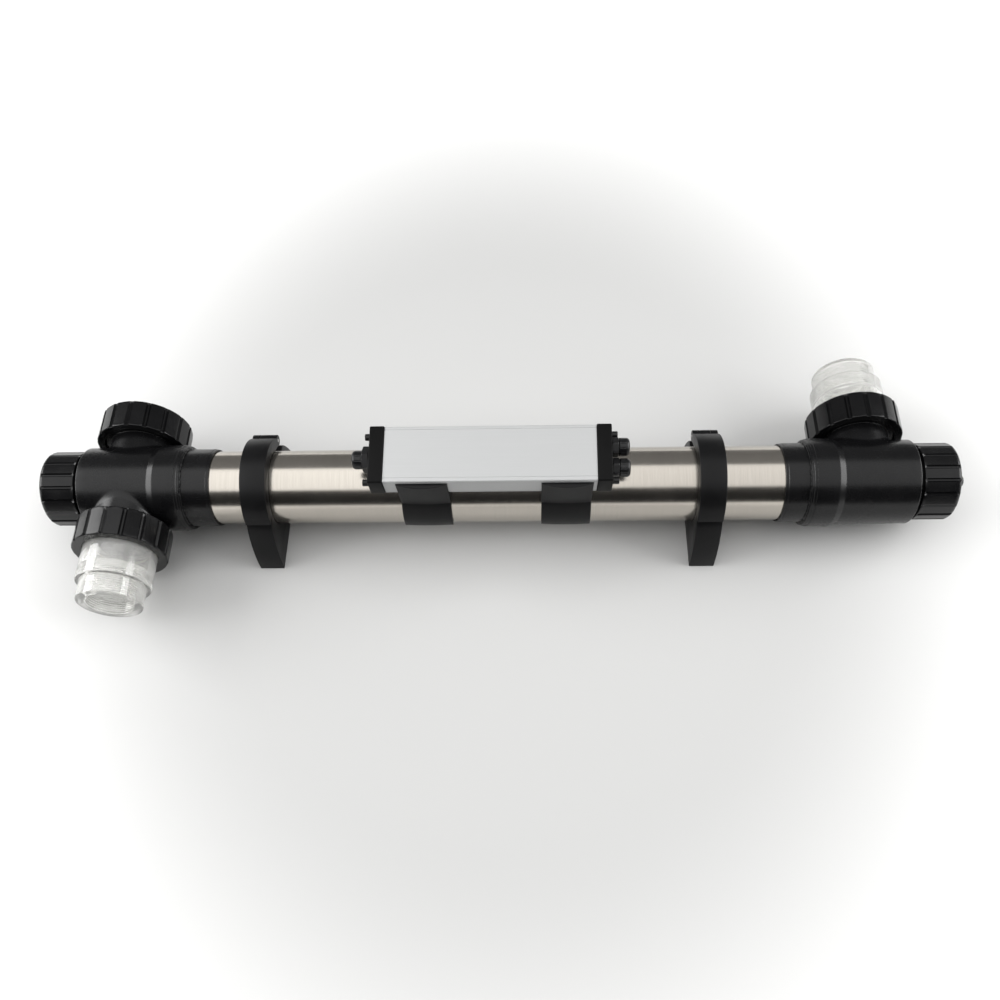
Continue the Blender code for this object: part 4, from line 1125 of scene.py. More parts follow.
@dataclass
class EndClosure(Assembly):
    """Seal, plug, pressure ring and ribbed screw cap on a tee's neck."""

    side: str = "left"
    centre: Vector = field(default_factory=Vector)
    way: Way = Way.LEFT
    cap: float = 39 * MM
    start: float = 47.5 * MM
    end: float = 83.9 * MM
    end_wall: float = 6.2 * MM
    bore: float = 35.9 * MM
    hub: float = 9 * MM
    plug: float = 29.2 * MM
    flange: float = 34.9 * MM
    flange_start: float = 69.3 * MM
    flange_end: float = 73.3 * MM
    plug_start: float = 47.3 * MM
    pocket: float = 12.8 * MM
    pocket_end: float = 66.3 * MM

    def build(self) -> None:
        """Builds the closure's pieces."""
        seal = ring(29.6 * MM, 32.2 * MM, 65.3 * MM, 69 * MM, 1.1 * MM)
        self.turn(f"{self.side}_end_seal", seal, self.centre, self.way)
        pressure = ring(self.hub + 5 * MM, self.flange, 73.6 * MM, 77.4 * MM, 0.6 * MM)
        self.turn(f"{self.side}_pressure_ring", pressure, self.centre, self.way)
        self.cap_piece()
        if self.side == "left":
            self.blind_plug()
        else:
            self.lamp_plug()

    def cap_piece(self) -> None:
        """The screw cap, with a flat turned face and a rounded rim."""
        inner = self.end - self.end_wall
        rim = [
            (self.cap, self.end, 6 * MM),
            (self.cap, self.start, 0.9 * MM),
            (self.bore, self.start, 0.5 * MM),
            (self.bore, inner, 0.6 * MM),
        ]
        face = [
            (self.cap - 9 * MM, self.end - 0.5 * MM, 0.3 * MM),
            (self.cap - 8.2 * MM, self.end, 0.3 * MM),
        ]
        if self.side == "left":
            dish = [(0, self.end - 0.5 * MM, 0), *face]
            corners = [*dish, *rim, (0, inner, 0)]
            section = rounded(corners, closed=False)
        else:
            hole = self.hub + 0.4 * MM
            dish = [(hole, inner, 0.3 * MM), (hole, self.end - 0.5 * MM, 0.5 * MM)]
            section = rounded([*dish, *face, *rim])
        section = divided(section, 1.6 * MM, closed=self.side != "left")
        mesh = turned(section, 18 * 20)
        sides = (self.start + 0.2 * MM, self.end - 0.2 * MM)
        grip = band((self.cap - 1.9 * MM, inf), sides, run=2.2 * MM)
        mesh = RIBS.run(marked(mesh, "grip", grip), Ribs=18.0, Depth=1.8 * MM, Land=0.70)
        self.put(mesh, towards(self.centre, self.way), f"{self.side}_end_cap_ribbed", f"{self.side}_end_cap")

    def blind_plug(self) -> None:
        """The plug that holds the closed end of the quartz."""
        corners = [
            (0, self.flange_end, 0),
            (self.flange, self.flange_end, 0.5 * MM),
            (self.flange, self.flange_start, 0.4 * MM),
            (self.plug, self.flange_start, 0.3 * MM),
            (self.plug, self.plug_start, 0.8 * MM),
            (self.pocket, self.plug_start, 0.8 * MM),
            (self.pocket, self.pocket_end, 0.4 * MM),
            (0, self.pocket_end, 0),
        ]
        self.turn("quartz_end_holder", rounded(corners, closed=False), self.centre, self.way)

    def lamp_plug(self) -> None:
        """The plug that lets the lamp's lead out, and the quartz's seal in it."""
        seal_pocket, seal_end, lead = 16.3 * MM, 51.1 * MM, 2.6 * MM
        corners = [
            (self.hub, self.end, 0.6 * MM),
            (self.hub, self.flange_end, 0.4 * MM),
            (self.flange, self.flange_end, 0.5 * MM),
            (self.flange, self.flange_start, 0.4 * MM),
            (self.plug, self.flange_start, 0.3 * MM),
            (self.plug, self.plug_start, 0.8 * MM),
            (seal_pocket, self.plug_start, 0.5 * MM),
            (seal_pocket, seal_end, 0.3 * MM),
            (self.pocket, seal_end, 0.4 * MM),
            (self.pocket, self.pocket_end, 0.3 * MM),
            (7 * MM, self.pocket_end, 0.4 * MM),
            (lead, self.flange_end, 0.5 * MM),
            (lead, self.end, 0.4 * MM),
        ]
        self.turn("lamp_plug", rounded(corners), self.centre, self.way)
        seal = ring(self.pocket, 16 * MM, 47.6 * MM, 50.8 * MM, 1.4 * MM)
        self.turn("quartz_seal", seal, self.centre, self.way, SMALL)


@dataclass
class LampSet(Assembly):
    """The quartz sleeve, and the lamp with its bases inside it."""

    quartz: float = 12.5 * MM
    wall: float = 1.5 * MM
    lamp: float = 7.8 * MM
    base: float = 9.6 * MM

    def build(self) -> None:
        """Builds the quartz, the lamp and both bases."""
        low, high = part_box("quartz_sleeve")
        origin = Vector((low.x, 0, self.shop.middle("quartz_sleeve").z))
        length, bore = high.x - low.x, self.quartz - self.wall
        outside = [(self.quartz * sin(pi * i / 16), self.quartz * (1 - cos(pi * i / 16))) for i in range(8)]
        inside = [(bore * sin(pi * i / 16), self.quartz - bore * cos(pi * i / 16)) for i in range(8)]
        rim = [(self.quartz, length - 0.5 * MM), (self.quartz - 0.5 * MM, length), (bore + 0.4 * MM, length)]
        path = [*outside, (self.quartz, self.quartz), *rim, (bore, length - 0.4 * MM), (bore, self.quartz)]
        self.turn("quartz_sleeve", [*path, *reversed(inside)], origin, Way.RIGHT, SMALL)
        self.lamp_tube()
        self.base_piece("lamp_base_left", Way.LEFT)
        self.base_piece("lamp_base_right", Way.RIGHT)

    def lamp_tube(self) -> None:
        """The lamp, drawn in towards its bases."""
        low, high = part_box("uv_lamp")
        length = high.x - low.x
        corners = [
            (0, length, 0),
            (self.lamp - 1.2 * MM, length, 0.6 * MM),
            (self.lamp, length - 5 * MM, 3 * MM),
            (self.lamp, 5 * MM, 3 * MM),
            (self.lamp - 1.2 * MM, 0, 0.6 * MM),
            (0, 0, 0),
        ]
        origin = Vector((low.x, 0, self.shop.middle("uv_lamp").z))
        self.turn("uv_lamp", rounded(corners, closed=False), origin, Way.RIGHT, SMALL)

    def base_piece(self, node: str, way: Way) -> None:
        """A ceramic base with its two pins."""
        low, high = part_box(node)
        length = high.x - low.x
        origin = self.shop.middle(node) - way.vector * length / 2
        body = turned(
            rounded(
                [
                    (0, length - 4 * MM, 0),
                    (self.base, length - 4 * MM, 0.6 * MM),
                    (self.base, 3 * MM, 0.5 * MM),
                    (self.base - 0.5 * MM, 2 * MM, 0.3 * MM),
                    (self.base - 0.5 * MM, 0, 0.5 * MM),
                    (0, 0, 0),
                ],
                closed=False,
            ),
            SMALL,
        )
        pin = turned(rod(1.1 * MM, length - 5 * MM, length), 20)
        spots = [(Vector((side * 4 * MM, 0, 0)), Way.UP.vector) for side in (-1, 1)]
        mesh = joined([body, copied(pin, spots)])
        self.put(mesh, towards(origin, way), f"{node}_pinned", node)


# ---------------------------------------------------------------- pipe clips


@dataclass
class PipeClip(Assembly):
    """A pipe clip: a flared foot and a strap that is hinged behind it on a pin."""

    side: str = "left"
    width: float = 26 * MM
    cradle: float = 38.35 * MM
    reach: float = 47.5 * MM
    parting: float = 8 * MM
    flare: float = 19.5 * MM
    power: float = 0.75
    strap: float = 51 * MM
    barrel: float = 6 * MM
    pin: float = 1.7 * MM
    lug: float = 10 * MM
    pin_reach: float = 49.2 * MM
    pin_angle: float = 26.6
    edge: float = 0.8 * MM

    def build(self) -> None:
        """Builds the foot, the strap and the pin."""
        low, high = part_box(f"{self.side}_clip_base")
        self.height = self.shop.middle("reactor_tube").z
        middle = Vector(((low.x + high.x) / 2, 0, self.height))
        angle = radians(self.pin_angle)
        self.hinge = (self.pin_reach * cos(angle), self.pin_reach * sin(angle))
        self.place = Matrix.Translation(middle)
        self.foot_piece()
        self.strap_piece()
        self.pin_piece()

    def foot_piece(self) -> None:
        """The foot: flared flanks, the hinge's lug and the screw way."""
        top = self.parting - 0.3 * MM
        drop = top + self.height
        flank = []
        for index in range(19):
            share = index / 18
            out = self.reach + self.flare * sin(share * pi / 2) ** self.power
            flank.append((out, top - drop * share))
        bed_angle = degrees(asin(top / self.cradle))
        bed = arc(self.cradle, 180 - bed_angle, 360 + bed_angle, 60)
        outline = flank + [(-y, z) for y, z in reversed(flank)] + bed
        half = self.width / 2
        body = bar(outline, -half, half, self.edge)
        pin_y, pin_z = self.hinge
        root, wide = top - 4 * MM, 4 * MM
        leg = [(pin_y - wide, root), (pin_y + 3 * MM, root), (pin_y + wide, pin_z), (pin_y - wide, pin_z)]
        lug = self.lug / 2
        body = carve(body, bar(leg, -lug, lug, 0.3 * MM), "UNION")
        body = carve(body, round_bar(self.barrel, self.hinge, lug, 36, 0.4 * MM), "UNION")
        body = carve(body, self.pin_hole())
        seat, below = -self.cradle - 8 * MM, -self.height - MM
        head, shank = 6.5 * MM, 3.2 * MM
        way = [(0, 0), (head, 0), (head, seat), (shank, seat - 3 * MM), (shank, below), (0, below)]
        body = carve(body, turned(way, SMALL))
        self.put(body, self.place, f"{self.side}_clip_foot", f"{self.side}_clip_base")

    def pin_hole(self) -> bpy.types.Mesh:
        """The cutter of the hinge pin's hole."""
        return round_bar(self.pin + 0.3 * MM, self.hinge, self.width, 24, 0.1 * MM)

    def strap_piece(self) -> None:
        """The strap, with a knuckle each side of the lug."""
        front_in = 180 - degrees(asin(self.parting / self.cradle))
        front_out = 180 - degrees(asin(self.parting / self.strap))
        outline = arc(self.strap, front_out, 34, 60)
        outline += arc(self.barrel, 78, -160, 20, self.hinge)
        outline += arc(self.cradle, 42, front_in, 50)
        half = self.width / 2
        body = bar(outline, -half, half, self.edge)
        body = carve(body, self.pin_hole())
        room = self.lug / 2 + 0.6 * MM
        body = carve(body, round_bar(self.barrel + 0.6 * MM, self.hinge, room, 36, 0.1 * MM))
        self.put(body, self.place, f"{self.side}_clip_strap_arched", f"{self.side}_clip_strap")

    def pin_piece(self) -> None:
        """The hinge pin, with a chamfer at each end."""
        half = self.width / 2
        mesh = turned(rod(self.pin, -half, half, 0.4 * MM), SMALL)
        place = self.place @ towards(Vector((0, *self.hinge)), Way.RIGHT)
        self.put(mesh, place, f"{self.side}_clip_pin_rod", f"{self.side}_clip_pin")


# ---------------------------------------------------------------- ballast box


@dataclass
class BallastBox(Assembly):
    """The tilted ballast box: extrusion, caps with screws, and the electronics inside."""

    tilt: float = 8.0
    length: float = 206.5 * MM
    width: float = 59 * MM
    height: float = 25.8 * MM
    top: float = 77 * MM
    wall: float = 2 * MM
    corner: float = 1.2 * MM
    cap_length: float = 14.5 * MM
    cap_margin: float = 0.9 * MM
    gap: float = 0.3 * MM
    screw_offset: float = 24.5 * MM
    screw: float = 1.5 * MM
    screw_head: float = 3.4 * MM
    head_length: float = 6.5 * MM
    gland_pitch: float = 22 * MM
    stub: float = 5.9 * MM
    groove: float = 0.6 * MM
    board_thickness: float = 1.6 * MM

    @property
    def seat(self) -> float:
        """Height of the underside of what stands on the circuit board."""
        return self.top - self.height + self.wall + 2 * self.gap + self.board_thickness

    @property
    def ceiling(self) -> float:
        """Height of the top of what stands on the circuit board."""
        return self.top - self.wall - 2 * MM

    @property
    def middle(self) -> float:
        """Height of the box's middle over the tube's axis, square to its top."""
        return self.top - self.height / 2

    @property
    def place(self) -> Matrix:
        """The box's tilted frame, centred along the extrusion, with its origin on the tube's axis."""
        low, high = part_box("ballast_extrusion")
        axis = Vector(((low.x + high.x) / 2, 0, self.shop.middle("reactor_tube").z))
        return Matrix.Translation(axis) @ Matrix.Rotation(radians(self.tilt), 4, "X")

    def build(self) -> None:
        """Builds the box and what it holds."""
        self.extrusion()
        self.cap_piece("left", -1, (0.0,))
        self.cap_piece("right", 1, (-self.gland_pitch / 2, self.gland_pitch / 2))
        self.board()
        self.choke()
        self.capacitor()

    def rounded_box(self, grow: float, corner: float) -> list[Point]:
        """The box's outline, grown each way."""
        reach = self.height / 2 + grow
        return rectangle(self.width / 2 + grow, self.middle - reach, self.middle + reach, corner)

    def extrusion(self) -> None:
        """The aluminium extrusion: drawing lines, side grooves and the screw bosses inside."""
        half, y, high = self.length / 2, self.width / 2, self.top
        low, groove_z = self.top - self.height, self.top - 3.5 * MM
        side = [
            (y, low, self.corner),
            (y, low + 2.2 * MM, 0),
            (y - 0.35 * MM, low + 2.6 * MM, 0),
            (y - 0.35 * MM, low + 3.4 * MM, 0),
            (y, low + 3.8 * MM, 0),
            (y, groove_z - self.groove, 0),
            (y - self.groove, groove_z, 0.2 * MM),
            (y, groove_z + self.groove, 0),
            (y, high, self.corner),
        ]
        line = ((3.4, 0), (3.6, 0.3), (4.2, 0.3), (4.4, 0))
        top = [(y - across * MM, high - drop * MM, 0) for across, drop in line]
        right = side + top
        corners = right + [(-a, b, c) for a, b, c in reversed(right)]
        body = bar(rounded(corners), -half, half, 0.15 * MM)
        inner_y, inner_z, boss = y - self.wall, self.height / 2 - self.wall, 3 * MM
        boss_y = inner_y - 2 * boss
        notch = [(inner_y, -boss), (boss_y, -boss), (boss_y, boss), (inner_y, boss)]
        cavity = [(inner_y, -inner_z), *notch, (inner_y, inner_z)]
        outline = [(a, b + self.middle) for a, b in cavity + [(-a, b) for a, b in reversed(cavity)]]
        body = carve(body, bar(outline, -half - MM, half + MM, 0.1 * MM))
        for offset in (-self.screw_offset, self.screw_offset):
            body = carve(body, self.hole(self.screw + self.gap, offset, half + MM))
        self.put(body, self.place, "ballast_extrusion_drawn", "ballast_extrusion")

    def hole(self, radius: float, offset: float, reach: float) -> bpy.types.Mesh:
        """A cutter along X through the box's middle height, from -reach to reach."""
        return round_bar(radius, (offset, self.middle), reach, 36, 0.05 * MM)

    def cap_piece(self, side: str, sign: int, glands: Sequence[float]) -> None:
        """One black end cap with its gland holes and two screws."""
        near = self.length / 2 + self.gap
        far = near + self.cap_length
        low, high = sorted((sign * near, sign * far))
        body = bar(self.rounded_box(self.cap_margin, 2.2 * MM), low, high, 1.1 * MM)
        for offset in glands:
            body = carve(body, self.hole(self.stub + self.gap, offset, far + MM))
        for offset in (-self.screw_offset, self.screw_offset):
            body = carve(body, self.hole(self.screw + self.gap, offset, far + MM))
        self.put(body, self.place, f"box_cap_{side}_moulded", f"box_cap_{side}")
        for name, offset in (("front", -self.screw_offset), ("rear", self.screw_offset)):
            self.screw_piece(f"box_screw_{side}_{name}", sign, far, offset)

    def screw_piece(self, node: str, sign: int, face: float, offset: float) -> None:
        """A cheese-head screw with a hexagon socket and a rolled thread."""
        reach = -self.cap_length - 9 * MM
        head = self.screw_head
        corners = [
            (0, self.head_length, 0),
            (head, self.head_length, 0.7 * MM),
            (head, self.gap, 0.3 * MM),
            (self.screw, self.gap, 0.2 * MM),
            (self.screw, reach + 1.2 * MM, 0.2 * MM),
            (0, reach, 0),
        ]
        body = turned(divided(rounded(corners, closed=False), 0.3 * MM, closed=False), SMALL)
        shank = (self.screw - 0.05 * MM, self.screw + 0.05 * MM)
        crest = band(shank, (-inf, -MM), -1.0)
        body = THREAD.run(marked(body, "thread", crest), Pitch=0.9 * MM, Depth=0.25 * MM)
        over, key, tip = self.head_length + MM, 1.75 * MM, self.head_length - 3 * MM
        socket = [(0, over), (key, over), (key, self.head_length - 2.6 * MM), (0, tip)]
        body = carve(body, turned(socket, 6))
        way = Way.RIGHT if sign > 0 else Way.LEFT
        place = self.place @ towards(Vector((sign * face, offset, self.middle)), way)
        self.put(body, place, f"{node}_socket", node)

    def board(self) -> None:
        """The circuit board with rows of small components on it."""
        floor = self.top - self.height + self.wall + self.gap
        half, y = self.length / 2 - 5 * MM, self.width / 2 - self.wall - self.gap
        top = floor + self.board_thickness
        board = bar(rectangle(y, floor, top, 0.2 * MM), -half, half, 0.2 * MM)
        chip = turned(rod(2.1 * MM, 0, 6 * MM, 0.5 * MM), 24)
        seat = top - 0.1 * MM
        spots = []
        for column in range(7):
            for row in (-1, 1):
                x = -half + 14 * MM + column * 26 * MM
                spots.append((Vector((x, row * 18 * MM, seat)), Way.UP.vector))
        mesh = joined([board, copied(chip, spots, 0.35)])
        self.put(mesh, self.place, "ballast_board_populated", "ballast_board")

    def choke(self) -> None:
        """The choke: rows of wire between two cheeks."""
        low, high = self.tilted_span("ballast_choke")
        side, thick = 13 * MM, 4 * MM
        cheek = rectangle(side, self.seat, self.ceiling, MM)
        ends = ((low, low + thick), (high - thick, high))
        turn_outline = rectangle(side - MM, self.seat + MM, self.ceiling - MM, 3 * MM)
        turn_count = 18
        pitch = (high - low - 7.4 * MM) / turn_count
        sections = []
        for index in range(turn_count):
            start = low + 3.7 * MM + index * pitch
            for share, drop in ((0.0, 0.5), (0.25, 0.12), (0.5, 0.0), (0.75, 0.12)):
                sections.append((start + share * pitch, inset(turn_outline, drop * MM)))
        sections.append((high - 3.7 * MM, inset(turn_outline, 0.5 * MM)))
        mesh = joined([*(bar(cheek, *end, 0.4 * MM) for end in ends), lofted(sections)])
        self.put(mesh, self.place, "ballast_choke_wound", "ballast_choke")

    def capacitor(self) -> None:
        """The capacitor can, with a crimped neck."""
        low, high = self.tilted_span("ballast_capacitor")
        radius = (self.ceiling - self.seat) / 2
        length = high - low
        corners = [
            (0, length, 0),
            (radius - MM, length, 0.4 * MM),
            (radius, length - MM, 0.4 * MM),
            (radius, 4 * MM, 0.5 * MM),
            (radius - 0.7 * MM, 3.2 * MM, 0.5 * MM),
            (radius, 2.4 * MM, 0.5 * MM),
            (radius, 0, 0.5 * MM),
            (0, 0, 0),
        ]
        mesh = turned(rounded(corners, closed=False), SMALL)
        place = self.place @ towards(Vector((low, 0, self.seat + radius)), Way.RIGHT)
        self.put(mesh, place, "ballast_capacitor_can", "ballast_capacitor")

    def tilted_span(self, node: str) -> Point:
        """A node's reach along X, from the middle of the extrusion."""
        low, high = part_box(node)
        middle = self.shop.middle("ballast_extrusion").x
        return low.x - middle, high.x - middle


@dataclass
class Saddle(Assembly):
    """A saddle that grips the box and lies on the tube. Its outer sides bulge in the middle of its width."""

    side: str = "left"
    box: BallastBox | None = None
    cradle: float = 38.35 * MM
    front_drop: float = 4.6 * MM
    rear_drop: float = 12 * MM
    wall: float = 0.9 * MM
    crease: float = 40.6 * MM
    tip: float = 41.55 * MM
    wrap: float = 100.0
    bulge_top: float = 4.5 * MM
    bulge_tip: float = 0.8 * MM

    def section(self, bulge: float, shrink: float) -> list[Point]:
        """One section of the saddle.

        Args:
            bulge: Share of the bulge, from 0 to 1.
            shrink: How far the outline is drawn in, for the rounded sides.

        Returns:
            The outline.
        """
        box = self.box
        channel = box.width / 2 + box.gap
        floor = box.top - box.height - box.gap
        wall = channel + self.wall
        crease_angle = degrees(asin(wall / self.crease))
        grip: list[Corner] = []
        for index in range(25):
            share = index / 24
            angle = radians(90 - (self.wrap + (crease_angle - self.wrap) * share))
            outer = self.tip + (self.crease - self.tip) * share
            outer += bulge * (self.bulge_tip + (self.bulge_top / 2 - self.bulge_tip) * share)
            grip.append((outer * cos(angle), outer * sin(angle), 0.8 * MM if index in (0, 24) else 0))
        out = wall + bulge * self.bulge_top
        rear, front = (
            [*grip, (out, top, 0.4 * MM), (channel, top, 0.2 * MM), (channel, floor, 0.4 * MM)]
            for top in (box.top - self.rear_drop, box.top - self.front_drop)
        )
        left = [(-y, z, r) for y, z, r in reversed(front)]
        bed = plain(arc(self.cradle, 90 + self.wrap, 90 - self.wrap, 72))
        outline = rounded(rear + left + bed, steps=3)
        return inset(outline, shrink) if shrink else outline

    def build(self) -> None:
        """Lofts the saddle."""
        node = f"saddle_{self.side}"
        low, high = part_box(node)
        middle = self.shop.middle("ballast_extrusion").x
        half, centre = (high.x - low.x) / 2, (low.x + high.x) / 2 - middle
        edge = 0.3 * MM
        ends = [(half, edge), (half - 0.25 * edge, 0.35 * edge), (half - edge, 0.0)]
        inner = [(half - edge) * (1 - i / 10) for i in range(1, 20)]
        stations = ends + [(x, 0.0) for x in inner] + [(-x, drop) for x, drop in reversed(ends)]
        rings = [(centre + x, self.section(1 - (x / half) ** 2, drop)) for x, drop in stations]
        mesh = lofted(rings)
        self.put(mesh, self.box.place, f"{node}_bulged", node)


# --------------------------------------------------------------- cable glands


@dataclass
class CableGland(Assembly):
    """A cable gland: hexagon body with its thread, rubber seal and domed nut. Heights run from its seat."""

    name: str = "mains_gland"
    place: Matrix = field(default_factory=Matrix)
    hexagon: float = 13.2 * MM
    hex_length: float = 7.2 * MM
    thread: float = 7 * MM
    thread_length: float = 5.6 * MM
    dome: float = 9.2 * MM
    stub: float = 0.0
    stub_radius: float = 5.9 * MM
    gap: float = 0.3 * MM

    @property
    def bore(self) -> float:
        """Radius of the cable's way."""
        return self.thread - 2.2 * MM

    def build(self) -> None:
        """Builds the gland's three pieces."""
        thread_end = self.hex_length + self.thread_length
        seal_start = thread_end + self.gap
        lip = seal_start + 2.2 * MM + self.gap
        self.body_piece(thread_end)
        seal = ring(self.bore - MM, self.thread - self.gap, seal_start, seal_start + 2.2 * MM, 0.7 * MM)
        mesh = turned(seal, SMALL)
        self.put(mesh, self.place, f"{self.name}_seal_ring", f"{self.name}_seal")
        self.dome_piece(lip, lip + 2.2 * MM)

    def body_piece(self, thread_end: float) -> None:
        """The hexagon, chamfered at both ends, with the thread that the dome nut screws onto."""
        across = self.hexagon * cos(pi / 6)

        def hexagonal(limit: float) -> Callable[[float], float]:
            """A hexagon's radius by angle, held under limit."""
            return lambda angle: min(limit, across / cos((angle + pi / 6) % (pi / 3) - pi / 6))

        low, high = self.gap, self.hex_length
        chamfer, pace = 0.9 * MM, 0.25 * MM
        levels = range(int((thread_end - high) / pace) - 1)
        outer: list[tuple[Radius, float]] = [
            *[(self.thread, thread_end - 0.5 * MM - pace * i) for i in levels],
            (self.thread, high),
            (across * 0.985, high),
            (hexagonal(self.hexagon - 0.55 * MM), high - 0.5 * chamfer),
            (hexagonal(self.hexagon), high - chamfer),
            (hexagonal(self.hexagon), low + chamfer),
            (hexagonal(self.hexagon - 0.55 * MM), low + 0.5 * chamfer),
            (across * 0.985, low),
        ]
        foot: list[tuple[Radius, float]] = [(self.bore, low)]
        if self.stub:
            foot = [(self.stub_radius, low), (self.stub_radius, -self.stub), (self.bore, -self.stub)]
        stations = [(self.bore, thread_end), (self.thread - 0.5 * MM, thread_end), *outer, *foot]
        mesh = turned(stations, MEDIUM)
        neck = (self.thread - 0.05 * MM, self.thread + 0.05 * MM)
        crest = band(neck, (high + 0.4 * MM, thread_end - 0.6 * MM), -1.0)
        mesh = THREAD.run(marked(mesh, "thread", crest), Pitch=1.5 * MM, Depth=0.5 * MM)
        self.put(mesh, self.place, f"{self.name}_hexagon", f"{self.name}_body")

    def dome_piece(self, lip: float, end: float) -> None:
        """The domed nut, fluted round its skirt."""
        start, inner = self.hex_length + self.gap, self.thread + 0.4 * MM
        foot = self.bore + 1.2 * MM
        drop = 0.35 * (end - start)
        crown = []
        for index in range(10):
            angle = pi / 2 * index / 9
            crown.append((foot + (self.dome - foot) * sin(angle), end - drop * (1 - cos(angle))))
        skirt_length = end - drop - start - 0.5 * MM
        skirt = [(self.dome, end - drop - skirt_length * i / 8) for i in range(1, 9)]
        rim = [(self.dome - 0.4 * MM, start), (inner + 0.2 * MM, start), (inner, start + 0.2 * MM)]
        mouth = [(inner, lip), (self.bore, lip), (self.bore, end - 0.3 * MM), (self.bore + 0.3 * MM, end)]
        mesh = turned([*crown, *skirt, *rim, *mouth], 12 * 12)
        grip = band((self.dome - 0.1 * MM, inf), (start + 0.9 * MM, end - drop - 0.5 * MM))
        mesh = RIBS.run(marked(mesh, "grip", grip), Ribs=12.0, Depth=0.35 * MM, Land=0.70)
        self.put(mesh, self.place, f"{self.name}_dome_nut_fluted", f"{self.name}_dome_nut")


# -------------------------------------------------------------------- studio


@dataclass(frozen=True)
class Softbox:
    """A rectangular lamp that shines towards the object."""

    name: str
    place: tuple[float, float, float]
    size: tuple[float, float]
    watts: float
    aim: float = 0.0
    aim_height: float = 60 * MM

    def hang(self) -> None:
        """Adds the lamp, turned to face the object's axis at x = aim."""
        light = bpy.data.lights.new(self.name, "AREA")
        light.shape = "RECTANGLE"
        light.size, light.size_y = self.size
        light.energy = self.watts
        lamp = linked(self.name, light)
        lamp.location = self.place
        sight = Vector((self.aim, 0, self.aim_height)) - lamp.location
        lamp.rotation_euler = sight.to_track_quat("-Z", "Y").to_euler()


@dataclass(frozen=True)
class Floor(Finish):
    """A pale backdrop with painted shade: its colour is darkened round the middle. It has a barely visible
    tooth.
    """

    def dress(self, graph: Graph) -> tuple[dict[str, Any], Field]:
        """See Finish.dress."""
        tooth = graph.noise(1.2 * MM, 2.0)
        cloud = graph.noise(0.6, 1.0, 2.0)
        place = graph.stretched((1.0, 0.85, 1.0))
        distance = graph.node("ShaderNodeVectorMath", {"operation": "LENGTH"}, {0: place}, "Value")
        # Painted shade: round the middle the floor's colour is darkened to 0.52 of itself, so the lamps are
        # not what makes it darker there.
        darker = tuple(c * 0.52 for c in self.colour)
        share = distance.smooth(0.30, 0.72) * 0.96 + cloud * 0.04
        rough = (tooth - 0.5) * 0.05 + self.roughness
        return {"Base Color": graph.mix(share, darker, self.colour), "Roughness": rough}, tooth


@dataclass(frozen=True)
class Studio:
    """Floor, softboxes, sky and camera."""

    eye: tuple[float, float, float] = (0.03445, -0.4993, 0.8597)
    view: tuple[float, float, float] = (-0.0407, 0.4405, -0.8968)
    up: tuple[float, float, float] = (0.0049, 0.8976, 0.4407)
    lens: float = 32.42
    shift: Point = (0.0028, 0.0755)

    def build(self) -> None:
        """Sets the stage."""
        bpy.context.scene.view_settings.view_transform = "Standard"
        self.floor()
        self.sky()
        for box in (
            Softbox("overhead_left", (-1.05, -0.22, 1.7), (2.5, 2.3), 28.0, -1.05),
            Softbox("overhead_right", (1.25, -0.22, 1.7), (2.1, 2.3), 17.5, 1.25),
            Softbox("left_strip", (-2.7, 0.1, 1.4), (2.6, 1.5), 85.0),
            Softbox("right_strip", (2.7, 0.1, 1.4), (2.6, 1.5), 85.0),
        ):
            box.hang()
        self.camera()

    def floor(self) -> None:
        """The floor, under the clip feet."""
        half, height = 3.0, -0.2 * MM
        mesh = bpy.data.meshes.new("floor")
        corners = [(-half, -half, height), (half, -half, height), (half, half, height), (-half, half, height)]
        mesh.from_pydata(corners, [], [(0, 1, 2, 3)])
        mesh.materials.append(Floor((0.93, 0.93, 0.92), 0.8, 0.01 * MM).material("floor"))
        linked("floor", mesh)

    def sky(self) -> None:
        """A sky that is bright overhead and dark low in front."""
        world = bpy.data.worlds.new("studio")
        world.use_nodes = True
        graph = Graph(world.node_tree)
        way = graph.node("ShaderNodeTexCoord", output="Generated")
        parts = graph.node("ShaderNodeSeparateXYZ", None, {0: way})
        y, z = parts.output("Y"), parts.output("Z")
        above = z.smooth(0.15, 0.95)
        behind = y.smooth(-0.7, 0.9)
        level = above * 0.05 + behind * 0.20 + 0.012
        values = {"Color": (1.0, 1.0, 1.0, 1.0), "Strength": level}
        background = graph.node("ShaderNodeBackground", None, values)
        graph.node("ShaderNodeOutputWorld", None, {"Surface": background})
        bpy.context.scene.world = world

    def camera(self) -> None:
        """The camera, above and in front of the clarifier."""
        data = bpy.data.cameras.new("camera")
        data.sensor_width = 36.0
        data.lens = self.lens
        data.shift_x, data.shift_y = self.shift
        data.clip_start = 0.01
        camera = linked("camera", data)
        view, up = Vector(self.view).normalized(), Vector(self.up)
        side = view.cross(up).normalized()
        axes = Matrix((side, side.cross(view), -view)).transposed().to_4x4()
        camera.matrix_world = Matrix.Translation(self.eye) @ axes
        bpy.context.scene.camera = camera


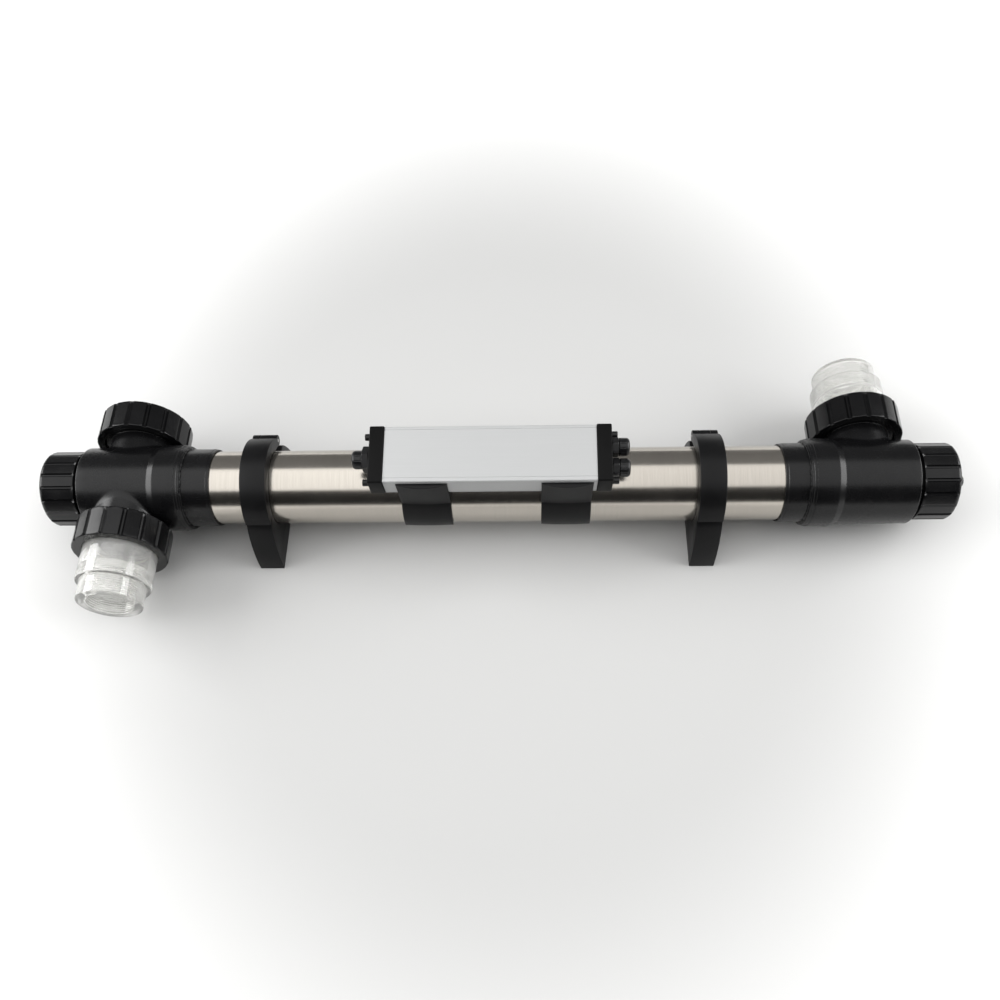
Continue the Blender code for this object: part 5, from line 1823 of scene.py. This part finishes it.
def glands(shop: Workshop, box: BallastBox, lamp_seat: Vector) -> list[CableGland]:
    """The four glands.

    Args:
        shop: The workshop.
        box: The ballast box, which carries three of them.
        lamp_seat: Where the lamp's gland stands on its plug.

    Returns:
        The glands, not yet built.
    """
    face = box.length / 2 + box.gap + box.cap_length
    stub = 10 * MM
    left = box.place @ towards(Vector((-face, 0, box.middle)), Way.LEFT)
    pitch = box.gland_pitch / 2
    ends = [box.place @ towards(Vector((face, y, box.middle)), Way.RIGHT) for y in (-pitch, pitch)]
    wires = {"hexagon": 9.8 * MM, "hex_length": 7 * MM, "thread": 6.6 * MM, "dome": 9 * MM, "stub": stub}
    lamp = {"hexagon": 7.4 * MM, "hex_length": 5 * MM, "thread": 4.8 * MM, "dome": 6.9 * MM}
    lamp["thread_length"] = 6.3 * MM
    return [
        CableGland(shop, "mains_gland", left, stub=stub),
        CableGland(shop, "front_wire_gland", ends[0], **wires),
        CableGland(shop, "rear_wire_gland", ends[1], **wires),
        CableGland(shop, "lamp_gland", towards(lamp_seat, Way.RIGHT), **lamp),
    ]


def main() -> None:
    """Builds the clarifier and its studio."""
    logging.basicConfig(level=logging.INFO, format="%(name)s %(message)s")
    shop = Workshop(frame["record"], frame["nodes"])
    height = shop.middle("reactor_tube").z
    left = Vector((shop.middle("blank_nut").x, 0, height))
    right = Vector((shop.middle("outlet_nut").x, 0, height))
    box = BallastBox(shop)
    left_end = EndClosure(shop, "left", left, Way.LEFT)
    lamp_end = EndClosure(shop, "right", right, Way.RIGHT)
    assemblies = [
        Reactor(shop),
        Union(shop, "inlet", left, Way.FRONT),
        Union(shop, "blank", left, Way.REAR, blank=True),
        Union(shop, "outlet", right, Way.REAR),
        left_end,
        lamp_end,
        LampSet(shop),
        PipeClip(shop, "left"),
        PipeClip(shop, "right"),
        box,
        Saddle(shop, "left", box),
        Saddle(shop, "right", box),
        *glands(shop, box, right + Way.RIGHT.vector * lamp_end.end),
    ]
    for assembly in assemblies:
        assembly.build()
    LOG.info("%d pieces", shop.count)
    Studio().build()


if __name__ == "__main__":
    main()
